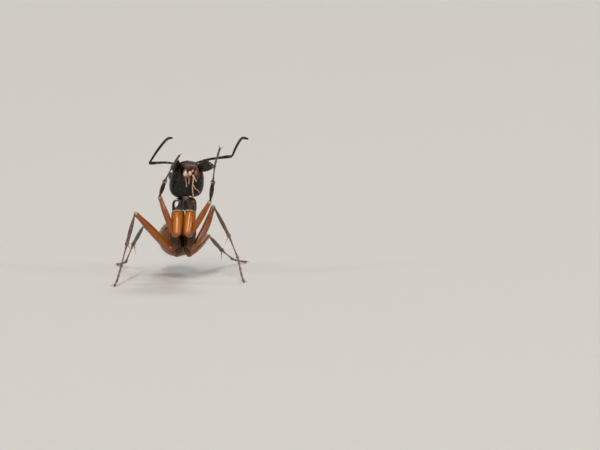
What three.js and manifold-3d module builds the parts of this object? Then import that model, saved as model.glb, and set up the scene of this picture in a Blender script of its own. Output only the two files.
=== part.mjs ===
// A carpenter ant worker, life size, reared up on its middle and hind legs with its jaws open.
// Millimetres and degrees. The ant stands on z = 0 with the origin below its middle, and faces -Y, so
// its own left is +X. Places and sizes within a part are given across, up and forward.
import * as THREE from "three";
import { mergeVertices } from "three/addons/utils/BufferGeometryUtils.js";
import Module from "manifold-3d";

const wasm = await Module();
wasm.setup();

// ---- Driving dimensions -------------------------------------------------------------------------

const HEAD_WIDTH = 2.0;
const HEAD_LENGTH = 2.24;
const HEAD_DEPTH = 1.4;
const TRUNK_LENGTH = 3.15; // pronotum, mesothorax and propodeum together
const TRUNK_WIDTH = 1.5;
const TRUNK_HEIGHT = 1.05;
const GASTER_LENGTH = 3.6;
const GASTER_WIDTH = 2.15;
const GASTER_HEIGHT = 2.0;

const NECK_PLACE = new THREE.Vector3(0.2362, -2.9723, 4.835); // where head and trunk meet
const HEAD_RISE = 70; // how far each part's long axis rises above the floor, front end up
const HEAD_YAW = 17; // and how far it is turned from -Y towards +X
const TRUNK_RISE = 58;
const TRUNK_YAW = 10;
const PETIOLE_RISE = 12;
const GASTER_RISE = -4;
const GASTER_YAW = 6;

const GAP = 0.02; // left between parts that meet
const FEELER_RADIUS = 0.25; // the least half width of a leg or feeler
const FOOT_HEIGHT = 0.21; // from the floor to the middle of a foot

// Where each pair of coxae leaves the trunk: out from the midline, up and forward of the neck.
const COXA_ROOTS = {
  fore: { right: [-0.46, -0.4, -0.66], left: [0.31, -0.4, -0.66] },
  middle: { right: [-0.48, -0.33, -1.88], left: [0.46, -0.33, -1.88] },
  hind: { right: [-0.32, -0.28, -2.5], left: [0.32, -0.28, -2.5] },
};

// Lengths of coxa, trochanter, femur, tibia, first tarsus joint and the rest of the tarsus.
const LEG_LENGTHS = {
  fore: [1.55, 0.34, 2.3, 1.8, 1.2, 1.0],
  middle: [1.25, 0.32, 2.8, 2.35, 1.6, 1.3],
  hind: [1.15, 0.3, 2.85, 2.9, 1.8, 1.5],
};
const LEG_RADII = {
  coxa: { fore: 0.37, middle: 0.36, hind: 0.33 },
  trochanter: { fore: FEELER_RADIUS, middle: FEELER_RADIUS, hind: FEELER_RADIUS },
  femur: { fore: 0.27, middle: 0.28, hind: 0.27 },
};

// Each segment's bearing, from -Y towards +X, and its rise above the floor, from coxa to toe. A leg
// that stands has no rise for its last segment: that one reaches down to the floor.
const LEG_POSES = {
  fore: {
    right: [[0, -58], [-141, 2], [-90, 70], [13, 35], [39, 52], [28, 38]],
    left: [[-14, -60], [138, 7], [61, 57], [8, 44], [9, 56], [68, 72]],
  },
  middle: {
    right: [[-13, -84], [-113, 5], [-96, 45], [-15, -44], [-16, -47], [-20]],
    left: [[-37, -82], [116, 9], [140, 53], [32, -43], [27, -46], [35]],
  },
  hind: {
    right: [[114, -85], [-137, 1], [-132, 32], [-164, -29], [-160, -41], [-160]],
    left: [[-1, -88], [145, 1], [159, 16], [164, -23], [158, -23], [150]],
  },
};

// How far the middle of one femur lies off the line between its joints.
const MIDDLE_LEFT_BOW = new THREE.Vector3(0.09, 0, -0.06);

// Antennae: the scape, then the flagellum in three stretches.
const ANTENNA_LENGTHS = [2.5, 1.1, 1.32, 0.72];
const ANTENNA_ROOT = [0.38, 0.62, 1.75];
const ANTENNA_POSES = {
  right: [[-136, -2], [44, 48], [28, 32], [30, 12]],
  left: [[111, 9], [16, 35], [16, 26], [31, 2]],
};

// ---- Materials ----------------------------------------------------------------------------------

function shell(colour, roughness) {
  return new THREE.MeshStandardMaterial({ color: colour, roughness, metalness: 0 });
}

const BLACK_SHELL = shell(0x1d1614, 0.3);
const RUSTY_SHELL = shell(0x7a3a16, 0.35);
const ORANGE_SHELL = shell(0xb8661c, 0.3);
const BROWN_SHELL = shell(0x3c2826, 0.4);
const PALE_SHELL = shell(0xb99f7c, 0.5);
const EYE_SHELL = shell(0x0c0b0c, 0.2);

// ---- Solids -------------------------------------------------------------------------------------

function toSolid(geometry) {
  geometry.deleteAttribute("normal");
  geometry.deleteAttribute("uv");
  const merged = mergeVertices(geometry, 1e-6);
  return new wasm.Manifold(
    new wasm.Mesh({
      numProp: 3,
      vertProperties: merged.attributes.position.array,
      triVerts: new Uint32Array(merged.index.array),
    }),
  );
}

// The largest piece of a solid, so that a cut leaves no crumbs.
function largest(solid) {
  return solid.decompose().reduce((a, b) => (a.volume() > b.volume() ? a : b));
}

// What is left of `solid` beside its neighbours, with GAP between them.
function beside(solid, ...neighbours) {
  for (const neighbour of neighbours) {
    const { min, max } = neighbour.boundingBox();
    const grow = [0, 1, 2].map((i) => 1 + (2 * GAP) / (max[i] - min[i]));
    const shift = [0, 1, 2].map((i) => ((1 - grow[i]) * (max[i] + min[i])) / 2);
    solid = solid.subtract(neighbour.scale(grow).translate(shift));
  }
  return largest(solid);
}

// The side of a plane that `normal` points to, from half a GAP off `point`.
function keepSide(solid, point, normal) {
  const n = normal.clone().normalize();
  return solid.trimByPlane(n.toArray(), n.dot(point) + GAP / 2);
}

// [cos, sin] of an angle, each raised to `power`: 1 walks round a circle and less round a rounded
// square.
function superellipse(angle, power) {
  return [Math.cos(angle), Math.sin(angle)].map((v) => Math.sign(v) * Math.abs(v) ** power);
}

// A closed surface whose point at each place is place(along, out, turn): `along` runs from 1 at the
// front pole to -1 at the rear one, `out` is the distance from the axis, and `turn` goes round it.
function surface({ sides, rings, blunt = 1 }, place) {
  const ball = new THREE.SphereGeometry(1, sides, rings);
  const points = ball.getAttribute("position");
  const p = new THREE.Vector3();
  for (let i = 0; i < points.count; i++) {
    p.fromBufferAttribute(points, i);
    const polar = Math.acos(THREE.MathUtils.clamp(p.y, -1, 1));
    const [along, out] = superellipse(polar, blunt);
    p.copy(place(along, out, Math.atan2(p.z, p.x)));
    points.setXYZ(i, p.x, p.y, p.z);
  }
  return toSolid(ball);
}

// A rounded body round `centre` in a frame: size is its width, height and length. `blunt` under 1
// squares its ends and `square` under 1 its cross-section. `bend` moves each point, given the point
// from -1 to 1 along each axis.
function body(frame, centre, size, options, bend = (p) => p) {
  const { square = 1 } = options;
  const half = new THREE.Vector3(...size).multiplyScalar(0.5);
  const middle = new THREE.Vector3(...centre);
  return surface(options, (along, out, turn) => {
    const [up, side] = superellipse(turn, square);
    const p = bend(new THREE.Vector3(side * out, up * out, along));
    return frame.localToWorld(p.multiply(half).add(middle));
  });
}

// A segment of a leg or feeler along a curve, with radius(s) for s from 0 at its root to 1 at its
// tip. Its round ends run `reach` past both, so that neighbours can be cut to meet.
function limb(curve, radius, { sides = 8, rings = 7, reach = FEELER_RADIUS } = {}) {
  const half = curve.getLength() / 2 + reach;
  return surface({ sides, rings, blunt: 0.5 }, (along, out, turn) => {
    const s = (1 + (along * half) / (half - reach)) / 2;
    const on = THREE.MathUtils.clamp(s, 0, 1);
    const ahead = curve.getTangentAt(on);
    const side = new THREE.Vector3(ahead.y, -ahead.x, 0).normalize();
    const up = ahead.clone().cross(side);
    const r = radius(on) * out;
    return curve
      .getPointAt(on)
      .addScaledVector(ahead, (s - on) * (half - reach) * 2)
      .addScaledVector(up, r * Math.cos(turn))
      .addScaledVector(side, r * Math.sin(turn));
  });
}

// A unit vector from a bearing, 0 towards -Y and 90 towards +X, and a rise above the floor.
function heading(bearing, rise) {
  const b = THREE.MathUtils.degToRad(bearing);
  const r = THREE.MathUtils.degToRad(rise);
  return new THREE.Vector3(
    Math.sin(b) * Math.cos(r),
    -Math.cos(b) * Math.cos(r),
    Math.sin(r),
  );
}

// ---- Frames: +X is the ant's left, +Y its back and +Z its front -----------------------------------

const ant = new THREE.Group();

function frame(place, rise, yaw) {
  const group = new THREE.Group();
  group.position.copy(place);
  group.rotation.set(
    THREE.MathUtils.degToRad(90 - rise),
    0,
    THREE.MathUtils.degToRad(yaw),
    "ZYX",
  );
  ant.add(group);
  group.updateMatrixWorld(true);
  return group;
}

function pointIn(group, coordinates) {
  return group.localToWorld(new THREE.Vector3(...coordinates));
}

const headFrame = frame(NECK_PLACE, HEAD_RISE, HEAD_YAW);
const trunkFrame = frame(NECK_PLACE, TRUNK_RISE, TRUNK_YAW);
const waist = pointIn(trunkFrame, [0, -0.12, -TRUNK_LENGTH]);
const petioleFrame = frame(waist, PETIOLE_RISE, TRUNK_YAW);
const gasterFrame = frame(pointIn(petioleFrame, [0, 0.02, -0.62]), GASTER_RISE, GASTER_YAW);

// Every finished solid, by name, so that later ones can be cut beside it.
const solids = {};

// Adds a solid, made in the world's frame, to the group that holds it.
function add(name, group, solid, material) {
  const { vertProperties, triVerts } = solid.getMesh();
  const geometry = new THREE.BufferGeometry();
  geometry.setAttribute("position", new THREE.BufferAttribute(vertProperties, 3));
  geometry.setIndex(new THREE.BufferAttribute(triVerts, 1));
  geometry.applyMatrix4(group.matrixWorld.clone().invert());
  geometry.computeVertexNormals();
  const mesh = new THREE.Mesh(geometry, material);
  mesh.name = name;
  group.add(mesh);
  solids[name] = solid;
}

// ---- Head ---------------------------------------------------------------------------------------

const HEAD_MIDDLE = 1.075; // ahead of the neck

// Widest behind its middle, flatter below, with two rounded lobes at the back.
function headShape(p) {
  const lobes = 0.1 * Math.max(0, -p.z) * (2 * p.x * p.x - 1);
  p.z -= lobes;
  p.x *= 1 - 0.1 * p.z - 0.08 * p.z * p.z;
  p.y *= (p.y < 0 ? 0.84 : 1) * (1 - 0.14 * p.z);
  return p;
}

function makeHead() {
  const size = [HEAD_WIDTH, HEAD_DEPTH, HEAD_LENGTH];
  const options = { sides: 18, rings: 13, blunt: 0.72, square: 0.85 };
  add("head", headFrame, body(headFrame, [0, 0, HEAD_MIDDLE], size, options, headShape), BLACK_SHELL);
}

const EYE_SIZE = [0.3, 0.42, 0.5];
const EYE_PLACE = [0.88, 0.3, 1.2];

function makeEye(side, out) {
  const [x, y, z] = EYE_PLACE;
  const eye = body(headFrame, [x * out, y, z], EYE_SIZE, { sides: 12, rings: 8 });
  add("eye_" + side, headFrame, beside(eye, solids.head), EYE_SHELL);
}

const JAW_LENGTH = 0.95;
const JAW_WIDTH = 0.72; // across the toothed edge
const JAW_THICKNESS = 0.3;
const JAW_TEETH = 5;
const JAW_BEVEL = 0.05;
const JAW_HINGE = [0.6, -0.3, 1.98];

// A jaw seen flat: its outer edge bows from the hinge to the tip, and its teeth run back along the
// inner edge.
function jawOutline() {
  const outline = new THREE.Shape();
  outline.moveTo(-0.12, 0.22);
  outline.quadraticCurveTo(-0.2, 0, -0.1, -0.2);
  outline.quadraticCurveTo(0.45 * JAW_LENGTH, -0.34, JAW_LENGTH, 0.02);
  const tip = new THREE.Vector2(JAW_LENGTH, 0.02);
  const root = new THREE.Vector2(0.42 * JAW_LENGTH, JAW_WIDTH - 0.2);
  for (let tooth = 1; tooth <= JAW_TEETH; tooth++) {
    const notch = tip.clone().lerp(root, (tooth - 0.35) / JAW_TEETH);
    const point = tip.clone().lerp(root, tooth / JAW_TEETH);
    outline.lineTo(notch.x - 0.05, notch.y - 0.03);
    outline.lineTo(point.x, point.y);
  }
  return outline;
}

// The jaws stand open, out to each side and a little down, with their teeth forward.
function makeJaw(side, out) {
  const length = new THREE.Vector3(0.75 * out, -0.58, 0.3).normalize();
  const width = new THREE.Vector3(-0.24 * out, 0.18, 0.95);
  width.addScaledVector(length, -width.dot(length)).normalize();
  const thick = length.clone().cross(width);
  const plate = new THREE.ExtrudeGeometry(jawOutline(), {
    depth: JAW_THICKNESS - 2 * JAW_BEVEL,
    curveSegments: 3,
    bevelThickness: JAW_BEVEL,
    bevelSize: JAW_BEVEL,
    bevelOffset: -JAW_BEVEL,
    bevelSegments: 1,
  });
  const [x, y, z] = JAW_HINGE;
  plate.translate(0, 0, JAW_BEVEL - JAW_THICKNESS / 2);
  plate.applyMatrix4(new THREE.Matrix4().makeBasis(length, width, thick));
  plate.translate(x * out, y, z);
  plate.applyMatrix4(headFrame.matrixWorld);
  add("mandible_" + side, headFrame, beside(toSolid(plate), solids.head), BLACK_SHELL);
}

const MOUTH_PLACE = [0, -0.5, 1.78];
const MOUTH_SIZE = [0.98, 0.62, 0.95];

// Upper lip, maxillae and lower lip, in one mass below the front of the head.
function makeMouthparts() {
  const bulge = body(headFrame, MOUTH_PLACE, MOUTH_SIZE, {
    sides: 12,
    rings: 8,
    blunt: 0.8,
    square: 0.8,
  });
  const solid = beside(bulge, solids.head, solids.mandible_left, solids.mandible_right);
  add("mouthparts", headFrame, solid, RUSTY_SHELL);
}

// The palps hang from the mouthparts along the underside of the head, each from its root to its tip.
const PALPS = {
  right: [[-0.2, -0.76, 1.4], [-0.24, -0.8, 0.85]],
  left: [[0.3, -0.76, 1.4], [0.28, -0.82, 0.3]],
};

function makePalp(side) {
  const [root, tip] = PALPS[side];
  const curve = new THREE.LineCurve3(pointIn(headFrame, root), pointIn(headFrame, tip));
  const palp = limb(curve, () => FEELER_RADIUS, { rings: 6, reach: 0.1 });
  add("palp_" + side, headFrame, beside(palp, solids.head, solids.mouthparts), PALE_SHELL);
}

function makeAntenna(side, out) {
  const [x, y, z] = ANTENNA_ROOT;
  const joints = [pointIn(headFrame, [x * out, y, z])];
  const turns = ANTENNA_POSES[side].map(([bearing, rise]) => heading(bearing, rise));
  turns.forEach((turn, i) =>
    joints.push(joints[i].clone().addScaledVector(turn, ANTENNA_LENGTHS[i])),
  );
  const elbow = turns[0].clone().add(turns[1]);
  const scape = limb(new THREE.LineCurve3(joints[0], joints[1]), () => FEELER_RADIUS);
  const held = keepSide(scape, joints[1], elbow.clone().negate());
  add("scape_" + side, headFrame, beside(held, solids.head), BLACK_SHELL);
  const curve = new THREE.CatmullRomCurve3(joints.slice(1));
  const flagellum = limb(curve, () => FEELER_RADIUS, { rings: 9 });
  add("flagellum_" + side, headFrame, keepSide(flagellum, joints[1], elbow), BLACK_SHELL);
}

// ---- Trunk, petiole and gaster --------------------------------------------------------------------

// An arched back and a narrower rear.
function trunkShape(p) {
  p.x *= 0.82 + 0.2 * p.z;
  p.y = p.y * (1 - 0.1 * p.z) + 0.16 * (1 - p.z * p.z);
  return p;
}

// The three plates of the back, parted from one body by two slanting cuts.
const PLATE_CUTS = [-1.2, -2.1];

function makeTrunk() {
  const centre = [0, 0.08, -0.12 - TRUNK_LENGTH / 2];
  const options = { sides: 16, rings: 12, blunt: 0.72, square: 0.85 };
  const size = [TRUNK_WIDTH, TRUNK_HEIGHT, TRUNK_LENGTH];
  let rest = body(trunkFrame, centre, size, options, trunkShape);
  const back = new THREE.Vector3(0, -0.25, -1).transformDirection(trunkFrame.matrixWorld);
  const plates = ["pronotum", "mesothorax"].map((name, i) => {
    const cut = pointIn(trunkFrame, [0, 0, PLATE_CUTS[i]]);
    const plate = keepSide(rest, cut, back.clone().negate());
    rest = keepSide(rest, cut, back);
    return [name, plate];
  });
  add("pronotum", trunkFrame, plates[0][1], BLACK_SHELL);
  add("mesothorax", trunkFrame, plates[1][1], RUSTY_SHELL);
  add("propodeum", trunkFrame, rest, RUSTY_SHELL);
}

const PROPLEURAE_PLACE = [0, -0.3, -0.5];
const PROPLEURAE_SIZE = [1.54, 0.78, 1.1];

// Their undersides slope up to the neck.
function propleuraeShape(p) {
  const slope = 0.5 * THREE.MathUtils.clamp(p.z + 0.1, 0, 1);
  p.y = p.y * (1 - slope) + slope;
  return p;
}

// The pair of plates below the pronotum, between neck and fore coxae.
function makePropleurae() {
  const options = { sides: 12, rings: 8, blunt: 0.62, square: 0.85 };
  const plate = body(trunkFrame, PROPLEURAE_PLACE, PROPLEURAE_SIZE, options, propleuraeShape);
  add("propleurae", trunkFrame, beside(plate, solids.pronotum, solids.head), BLACK_SHELL);
}

const NECK_RADIUS = 0.3;

function makeNeck() {
  const curve = new THREE.LineCurve3(
    pointIn(trunkFrame, [0, -0.08, -0.4]),
    pointIn(headFrame, [0, -0.1, 0.35]),
  );
  const neck = limb(curve, () => NECK_RADIUS, { rings: 4, reach: 0.05 });
  const solid = beside(neck, solids.head, solids.pronotum, solids.propleurae);
  add("neck", headFrame, solid, BLACK_SHELL);
}

const STALK_PLACE = [0, 0, -0.3];
const STALK_SIZE = [0.56, 0.52, 0.95];
const SCALE_PLACE = [0, 0.22, -0.3];
const SCALE_SIZE = [0.78, 1.1, 0.42];

// A short stalk with an upright scale.
function makePetiole() {
  const stalk = body(petioleFrame, STALK_PLACE, STALK_SIZE, {
    sides: 8,
    rings: 6,
    blunt: 0.6,
  });
  const scale = body(petioleFrame, SCALE_PLACE, SCALE_SIZE, {
    sides: 10,
    rings: 6,
    square: 0.9,
  });
  const whole = beside(stalk.add(scale), solids.propodeum, solids.gaster_1);
  add("petiole", petioleFrame, whole, RUSTY_SHELL);
}

// Where each ring of the gaster ends, behind its front.
const GASTER_CUTS = [1.15, 2.0, 2.7, 3.22];
const GASTER_SHELLS = [ORANGE_SHELL, BROWN_SHELL, BLACK_SHELL, BLACK_SHELL, BLACK_SHELL];

// Fullest ahead of its middle, drawn out to a blunt point.
function gasterShape(p) {
  const swell = 1 + 0.08 * p.z - 0.06 * p.z * p.z;
  p.x *= swell;
  p.y = p.y * swell - 0.06 * (1 - p.z * p.z);
  return p;
}

function makeGaster() {
  const centre = [0, 0, -GASTER_LENGTH / 2];
  const size = [GASTER_WIDTH, GASTER_HEIGHT, GASTER_LENGTH];
  const options = { sides: 16, rings: 14, blunt: 0.88 };
  let rest = body(gasterFrame, centre, size, options, gasterShape);
  const back = new THREE.Vector3(0, 0, -1).transformDirection(gasterFrame.matrixWorld);
  GASTER_SHELLS.forEach((material, i) => {
    let ring = rest;
    if (i < GASTER_CUTS.length) {
      const cut = pointIn(gasterFrame, [0, 0, -GASTER_CUTS[i]]);
      ring = keepSide(rest, cut, back.clone().negate());
      rest = keepSide(rest, cut, back);
    }
    add("gaster_" + (i + 1), gasterFrame, ring, material);
  });
}

// ---- Legs -----------------------------------------------------------------------------------------

// The joints of a leg from coxa root to toe.
function legJoints(pair, side) {
  const joints = [pointIn(trunkFrame, COXA_ROOTS[pair][side])];
  LEG_POSES[pair][side].forEach(([bearing, rise], i) => {
    const from = joints[i];
    const length = LEG_LENGTHS[pair][i];
    const drop = Math.asin((FOOT_HEIGHT - from.z) / length);
    const angle = rise ?? THREE.MathUtils.radToDeg(drop);
    joints.push(from.clone().addScaledVector(heading(bearing, angle), length));
  });
  return joints;
}

// A coxa is fullest near its root, and a femur in its middle.
const coxaTaper = (s) => 1 - 0.36 * s * s;
const femurTaper = (s) => 1 - 0.2 * (2 * s - 0.9) ** 4;

function makeLeg(pair, side, neighbours) {
  const joints = legJoints(pair, side);
  const group = new THREE.Group();
  group.position.copy(joints[0]);
  ant.add(group);
  group.updateMatrixWorld(true);

  const line = (i) => new THREE.LineCurve3(joints[i], joints[i + 1]);
  const span = (i, radius, options) => limb(line(i), radius, options);
  const direction = (i) => joints[i + 1].clone().sub(joints[i]).normalize();
  // The plane that halves the bend at a joint.
  const mitre = (i) => direction(i - 1).add(direction(i));
  const before = (solid, i) => keepSide(solid, joints[i], mitre(i).negate());
  const after = (solid, i) => keepSide(solid, joints[i], mitre(i));
  const name = (part) => part + "_" + pair + "_" + side;

  const coxaRadius = LEG_RADII.coxa[pair];
  const coxa = span(0, (s) => coxaRadius * coxaTaper(s), { sides: 10, rings: 7 });
  const near = neighbours.map((other) => solids[other]).filter(Boolean);
  add(name("coxa"), group, beside(before(coxa, 1), ...near), ORANGE_SHELL);

  const trochanter = span(1, () => LEG_RADII.trochanter[pair], { rings: 5, reach: 0.2 });
  let bent = line(2);
  if (pair === "middle" && side === "left") {
    const aside = bent.getPoint(0.5).addScaledVector(MIDDLE_LEFT_BOW, 2);
    bent = new THREE.QuadraticBezierCurve3(joints[2], aside, joints[3]);
  }
  const femur = limb(bent, (s) => LEG_RADII.femur[pair] * femurTaper(s), { rings: 8 });
  const thigh = before(after(trochanter, 1).add(femur), 3);
  add(name("femur"), group, beside(thigh, solids[name("coxa")], ...near), ORANGE_SHELL);

  const even = () => FEELER_RADIUS;
  add(name("tibia"), group, before(after(span(3, even), 3), 4), BROWN_SHELL);
  add(name("basitarsus"), group, before(after(span(4, even), 4), 5), BROWN_SHELL);
  const toe = after(span(5, even, { rings: 8 }), 5);
  add(name("tarsus"), group, toe.trimByPlane([0, 0, 1], 0), BROWN_SHELL);
}

// ---- The whole ant --------------------------------------------------------------------------------

const SIDES = { right: -1, left: 1 };

makeHead();
for (const [side, out] of Object.entries(SIDES)) {
  makeEye(side, out);
  makeJaw(side, out);
}
makeMouthparts();
makePalp("right");
makePalp("left");
makeTrunk();
makePropleurae();
makeNeck();
makeGaster();
makePetiole();
for (const [side, out] of Object.entries(SIDES)) {
  makeAntenna(side, out);
  makeLeg("fore", side, ["propleurae", "pronotum", "mesothorax", "coxa_fore_right"]);
  makeLeg("middle", side, ["mesothorax", "propodeum", "pronotum", "coxa_fore_" + side]);
  makeLeg("hind", side, ["propodeum", "mesothorax", "coxa_middle_" + side]);
}

export default ant;
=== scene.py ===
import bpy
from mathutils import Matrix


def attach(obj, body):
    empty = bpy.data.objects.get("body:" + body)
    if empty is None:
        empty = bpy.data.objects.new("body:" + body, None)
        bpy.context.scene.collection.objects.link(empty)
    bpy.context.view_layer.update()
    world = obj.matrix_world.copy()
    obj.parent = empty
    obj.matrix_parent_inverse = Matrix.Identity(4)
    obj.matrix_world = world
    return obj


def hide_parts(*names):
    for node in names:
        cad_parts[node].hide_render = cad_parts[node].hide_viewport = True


bl_info = {
    "name": "Carpenter Ant",
    "version": (1, 0, 0),
    "blender": (4, 5, 0),
    "location": "3D View > Sidebar > Ant",
    "description": "A life-size carpenter ant worker, reared up with open jaws, around a fixed frame",
    "category": "Add Mesh",
}

import bpy
import numpy as np
from bpy.props import FloatProperty, FloatVectorProperty, IntProperty, PointerProperty
from mathutils import Vector

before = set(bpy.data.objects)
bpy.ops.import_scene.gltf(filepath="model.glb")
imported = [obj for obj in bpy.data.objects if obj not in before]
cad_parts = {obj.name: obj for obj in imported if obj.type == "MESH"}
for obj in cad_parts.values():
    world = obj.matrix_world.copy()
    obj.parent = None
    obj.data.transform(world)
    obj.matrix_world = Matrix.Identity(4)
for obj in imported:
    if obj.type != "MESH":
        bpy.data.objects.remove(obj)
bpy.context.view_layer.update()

# Shapes are worked out in millimetres and degrees. The ant stands on z = 0 and faces -Y, so its own
# left is +X. Objects are in metres.
MM = 0.001
TAU = 2 * np.pi
TINY = 1e-9

# ---- The frame's own measures --------------------------------------------------------------------

NECK_PLACE = (0.2362, -2.9723, 4.835)  # where head and trunk meet
HEAD_RISE, HEAD_YAW = 70, 17  # of each part's long axis: above the floor, and from -Y towards +X
TRUNK_RISE, TRUNK_YAW = 58, 10
PETIOLE_RISE = 12
GASTER_RISE, GASTER_YAW = -4, 6

HEAD_SIZE = (2.0, 1.4, 2.24)  # width, depth and length
TRUNK_SIZE = (1.5, 1.05, 3.15)
GASTER_SIZE = (2.15, 2.0, 3.6)
EYE_SIZE = (0.3, 0.42, 0.5)
HEAD_MIDDLE = 1.075  # ahead of the neck
PLATE_CUTS = (-1.2, -2.1)  # where the plates of the trunk part, along its axis
GASTER_CUTS = (1.15, 2.0, 2.7, 3.22)

SIDES = {"right": -1, "left": 1}
PAIRS = ("fore", "middle", "hind")
FOOT_HEIGHT = 0.21

# Where each coxa leaves the trunk: left of the midline, up and forward of the neck.
COXA_ROOTS = {
    "fore": {"right": (-0.46, -0.4, -0.66), "left": (0.31, -0.4, -0.66)},
    "middle": {"right": (-0.48, -0.33, -1.88), "left": (0.46, -0.33, -1.88)},
    "hind": {"right": (-0.32, -0.28, -2.5), "left": (0.32, -0.28, -2.5)},
}

# Lengths of coxa, trochanter, femur, tibia, basitarsus and the rest of the tarsus.
LEG_LENGTHS = {
    "fore": (1.55, 0.34, 2.3, 1.8, 1.2, 1.0),
    "middle": (1.25, 0.32, 2.8, 2.35, 1.6, 1.3),
    "hind": (1.15, 0.3, 2.85, 2.9, 1.8, 1.5),
}

# Each segment's bearing, from -Y towards +X, and its rise above the floor. None reaches the floor.
LEG_POSES = {
    "fore": {
        "right": ((0, -58), (-141, 2), (-90, 70), (13, 35), (39, 52), (28, 38)),
        "left": ((-14, -60), (138, 7), (61, 57), (8, 44), (9, 56), (68, 72)),
    },
    "middle": {
        "right": ((-13, -84), (-113, 5), (-96, 45), (-15, -44), (-16, -47), (-20, None)),
        "left": ((-37, -82), (116, 9), (140, 53), (32, -43), (27, -46), (35, None)),
    },
    "hind": {
        "right": ((114, -85), (-137, 1), (-132, 32), (-164, -29), (-160, -41), (-160, None)),
        "left": ((-1, -88), (145, 1), (159, 16), (164, -23), (158, -23), (150, None)),
    },
}
MIDDLE_LEFT_BOW = (0.09, 0, -0.06)  # of one femur's middle, off the line between its joints

# The scape, then the flagellum in three stretches.
ANTENNA_ROOT = (0.38, 0.62, 1.75)
ANTENNA_LENGTHS = (2.5, 1.1, 1.32, 0.72)
ANTENNA_POSES = {
    "right": ((-136, -2), (44, 48), (28, 32), (30, 12)),
    "left": ((111, 9), (16, 35), (16, 26), (31, 2)),
}


# ---- Settings ------------------------------------------------------------------------------------


def linear(code):
    """The linear colour of an sRGB hex code."""
    value = np.array([int(code[i : i + 2], 16) for i in (1, 3, 5)]) / 255
    return tuple(np.where(value <= 0.04045, value / 12.92, ((value + 0.055) / 1.055) ** 2.4))


def length(name, description, millimetres):
    """A length setting, given in millimetres and kept in metres."""
    return FloatProperty(name=name, description=description, default=millimetres * MM, unit="LENGTH")


def colour(name, description, code):
    """A colour setting, given as an sRGB hex code."""
    return FloatVectorProperty(
        name=name, description=description, default=linear(code), subtype="COLOR", size=3
    )


class LimbSizes(bpy.types.PropertyGroup):
    """Half widths and lengths of the limbs' parts."""

    coxa: length("Coxa", "Half width of a fore coxa where it is fullest", 0.355)
    trochanter: length("Trochanter", "Half width of a trochanter", 0.15)
    femur: length("Femur", "Half width of the thickest femur where it is fullest", 0.235)
    tibia: length("Tibia", "Half width of a tibia where it is fullest", 0.135)
    tarsus: length("Tarsus", "Half width of a tarsus", 0.078)
    scape: length("Scape", "Half width of an antenna's first joint at its far end", 0.085)
    flagellum: length("Flagellum", "Half width of an antenna's lash", 0.078)
    palp: length("Palp", "Half width of a palp", 0.05)
    spur: length("Spur", "Length of the spur below a tibia", 0.6)
    claw: length("Claw", "Length of a claw", 0.2)


class CoatSettings(bpy.types.PropertyGroup):
    """Hairs of the coat."""

    erect: length("Erect hairs", "Length of the long hairs that stand up", 0.3)
    down: length("Down", "Length of the short hairs that lie flat", 0.1)
    thickness: length("Thickness", "Half width of a hair at its root", 0.0045)
    fullness: FloatProperty(
        name="Fullness", description="Share of the usual number of hairs", default=1.0, min=0.0
    )
    seed: IntProperty(name="Seed", description="Start of the random places of hairs", default=7)


class ShellColours(bpy.types.PropertyGroup):
    """Colours of shell, hair and floor."""

    black: colour("Black shell", "Head, pronotum and feelers", "#0f0b08")
    brown: colour("Brown shell", "Rims of black plates", "#3a1c12")
    rust: colour("Rust shell", "Middle and rear of the trunk", "#6e2f12")
    # Painted shade: the sides of a fore coxa, turned away from the front, are drawn in this darker
    # brown. So are its ends.
    sienna: colour("Sienna shell", "The sides and ends of the fore coxae", "#7c3d0a")
    bister: colour("Bister shell", "Rear rings of the gaster", "#21130c")
    # Painted shade: the middle and hind coxae are drawn in this dark brown, as if in shadow below the
    # fore coxae.
    umber: colour("Umber shell", "Middle and hind coxae", "#3a1b07")
    orange: colour("Orange shell", "Coxae and front of the gaster", "#8c5010")
    # Painted light: where a fore coxa faces the front, it is drawn in this brighter amber.
    amber: colour("Amber shell", "The brightest part of an orange shell", "#b36b17")
    tan: colour("Tan shell", "Femora", "#84460e")
    lip: colour("Lip", "Upper lip", "#35201c")
    plum: colour("Plum shell", "Tibiae and tarsi", "#5e4945")
    # Painted sheen: this pale grey lightens the knees and the joints of tibia and tarsus, standing for
    # their glint. It also tints the tarsi faintly.
    silver: colour("Knee", "Knees and worn edges", "#ad9f96")
    membrane: colour("Membrane", "Soft skin at the roots of the coxae and of the neck", "#d6c4bc")
    palp: colour("Palp", "Palps", "#c2b193")
    eye: colour("Eye", "Compound eyes", "#0c0b0d")
    hair: colour("Hair", "Golden hairs", "#9a7038")
    floor: colour("Floor", "Paper floor", "#cfceca")


class StageSettings(bpy.types.PropertyGroup):
    """Camera and lights."""

    elevation: FloatProperty(
        name="Elevation",
        description="How far the camera looks down, in degrees",
        default=6.0,
    )
    distance: length("Distance", "From the camera to the middle of its picture", 400.0)
    view_width: length("View width", "Width of the picture at that distance", 34.29)
    key: FloatProperty(name="Key light", description="Strength of the key light", default=1.0)
    fill: FloatProperty(name="Side lights", description="Strength of the two side lights", default=1.0)
    rim: FloatProperty(name="Rim light", description="Strength of the light behind", default=1.0)


class AntSettings(bpy.types.PropertyGroup):
    """All settings of the ant."""

    limbs: PointerProperty(name="Limbs", description="Limb sizes", type=LimbSizes)
    coat: PointerProperty(name="Coat", description="Hairs", type=CoatSettings)
    colours: PointerProperty(name="Colours", description="Colours", type=ShellColours)
    stage: PointerProperty(name="Stage", description="Camera and lights", type=StageSettings)


def settings():
    """The ant's settings in this scene."""
    return bpy.context.scene.carpenter_ant


# ---- Numbers and directions ----------------------------------------------------------------------


def unit(vectors):
    """Vectors brought to length 1."""
    vectors = np.asarray(vectors, float)
    return vectors / (np.linalg.norm(vectors, axis=-1, keepdims=True) + TINY)


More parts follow.
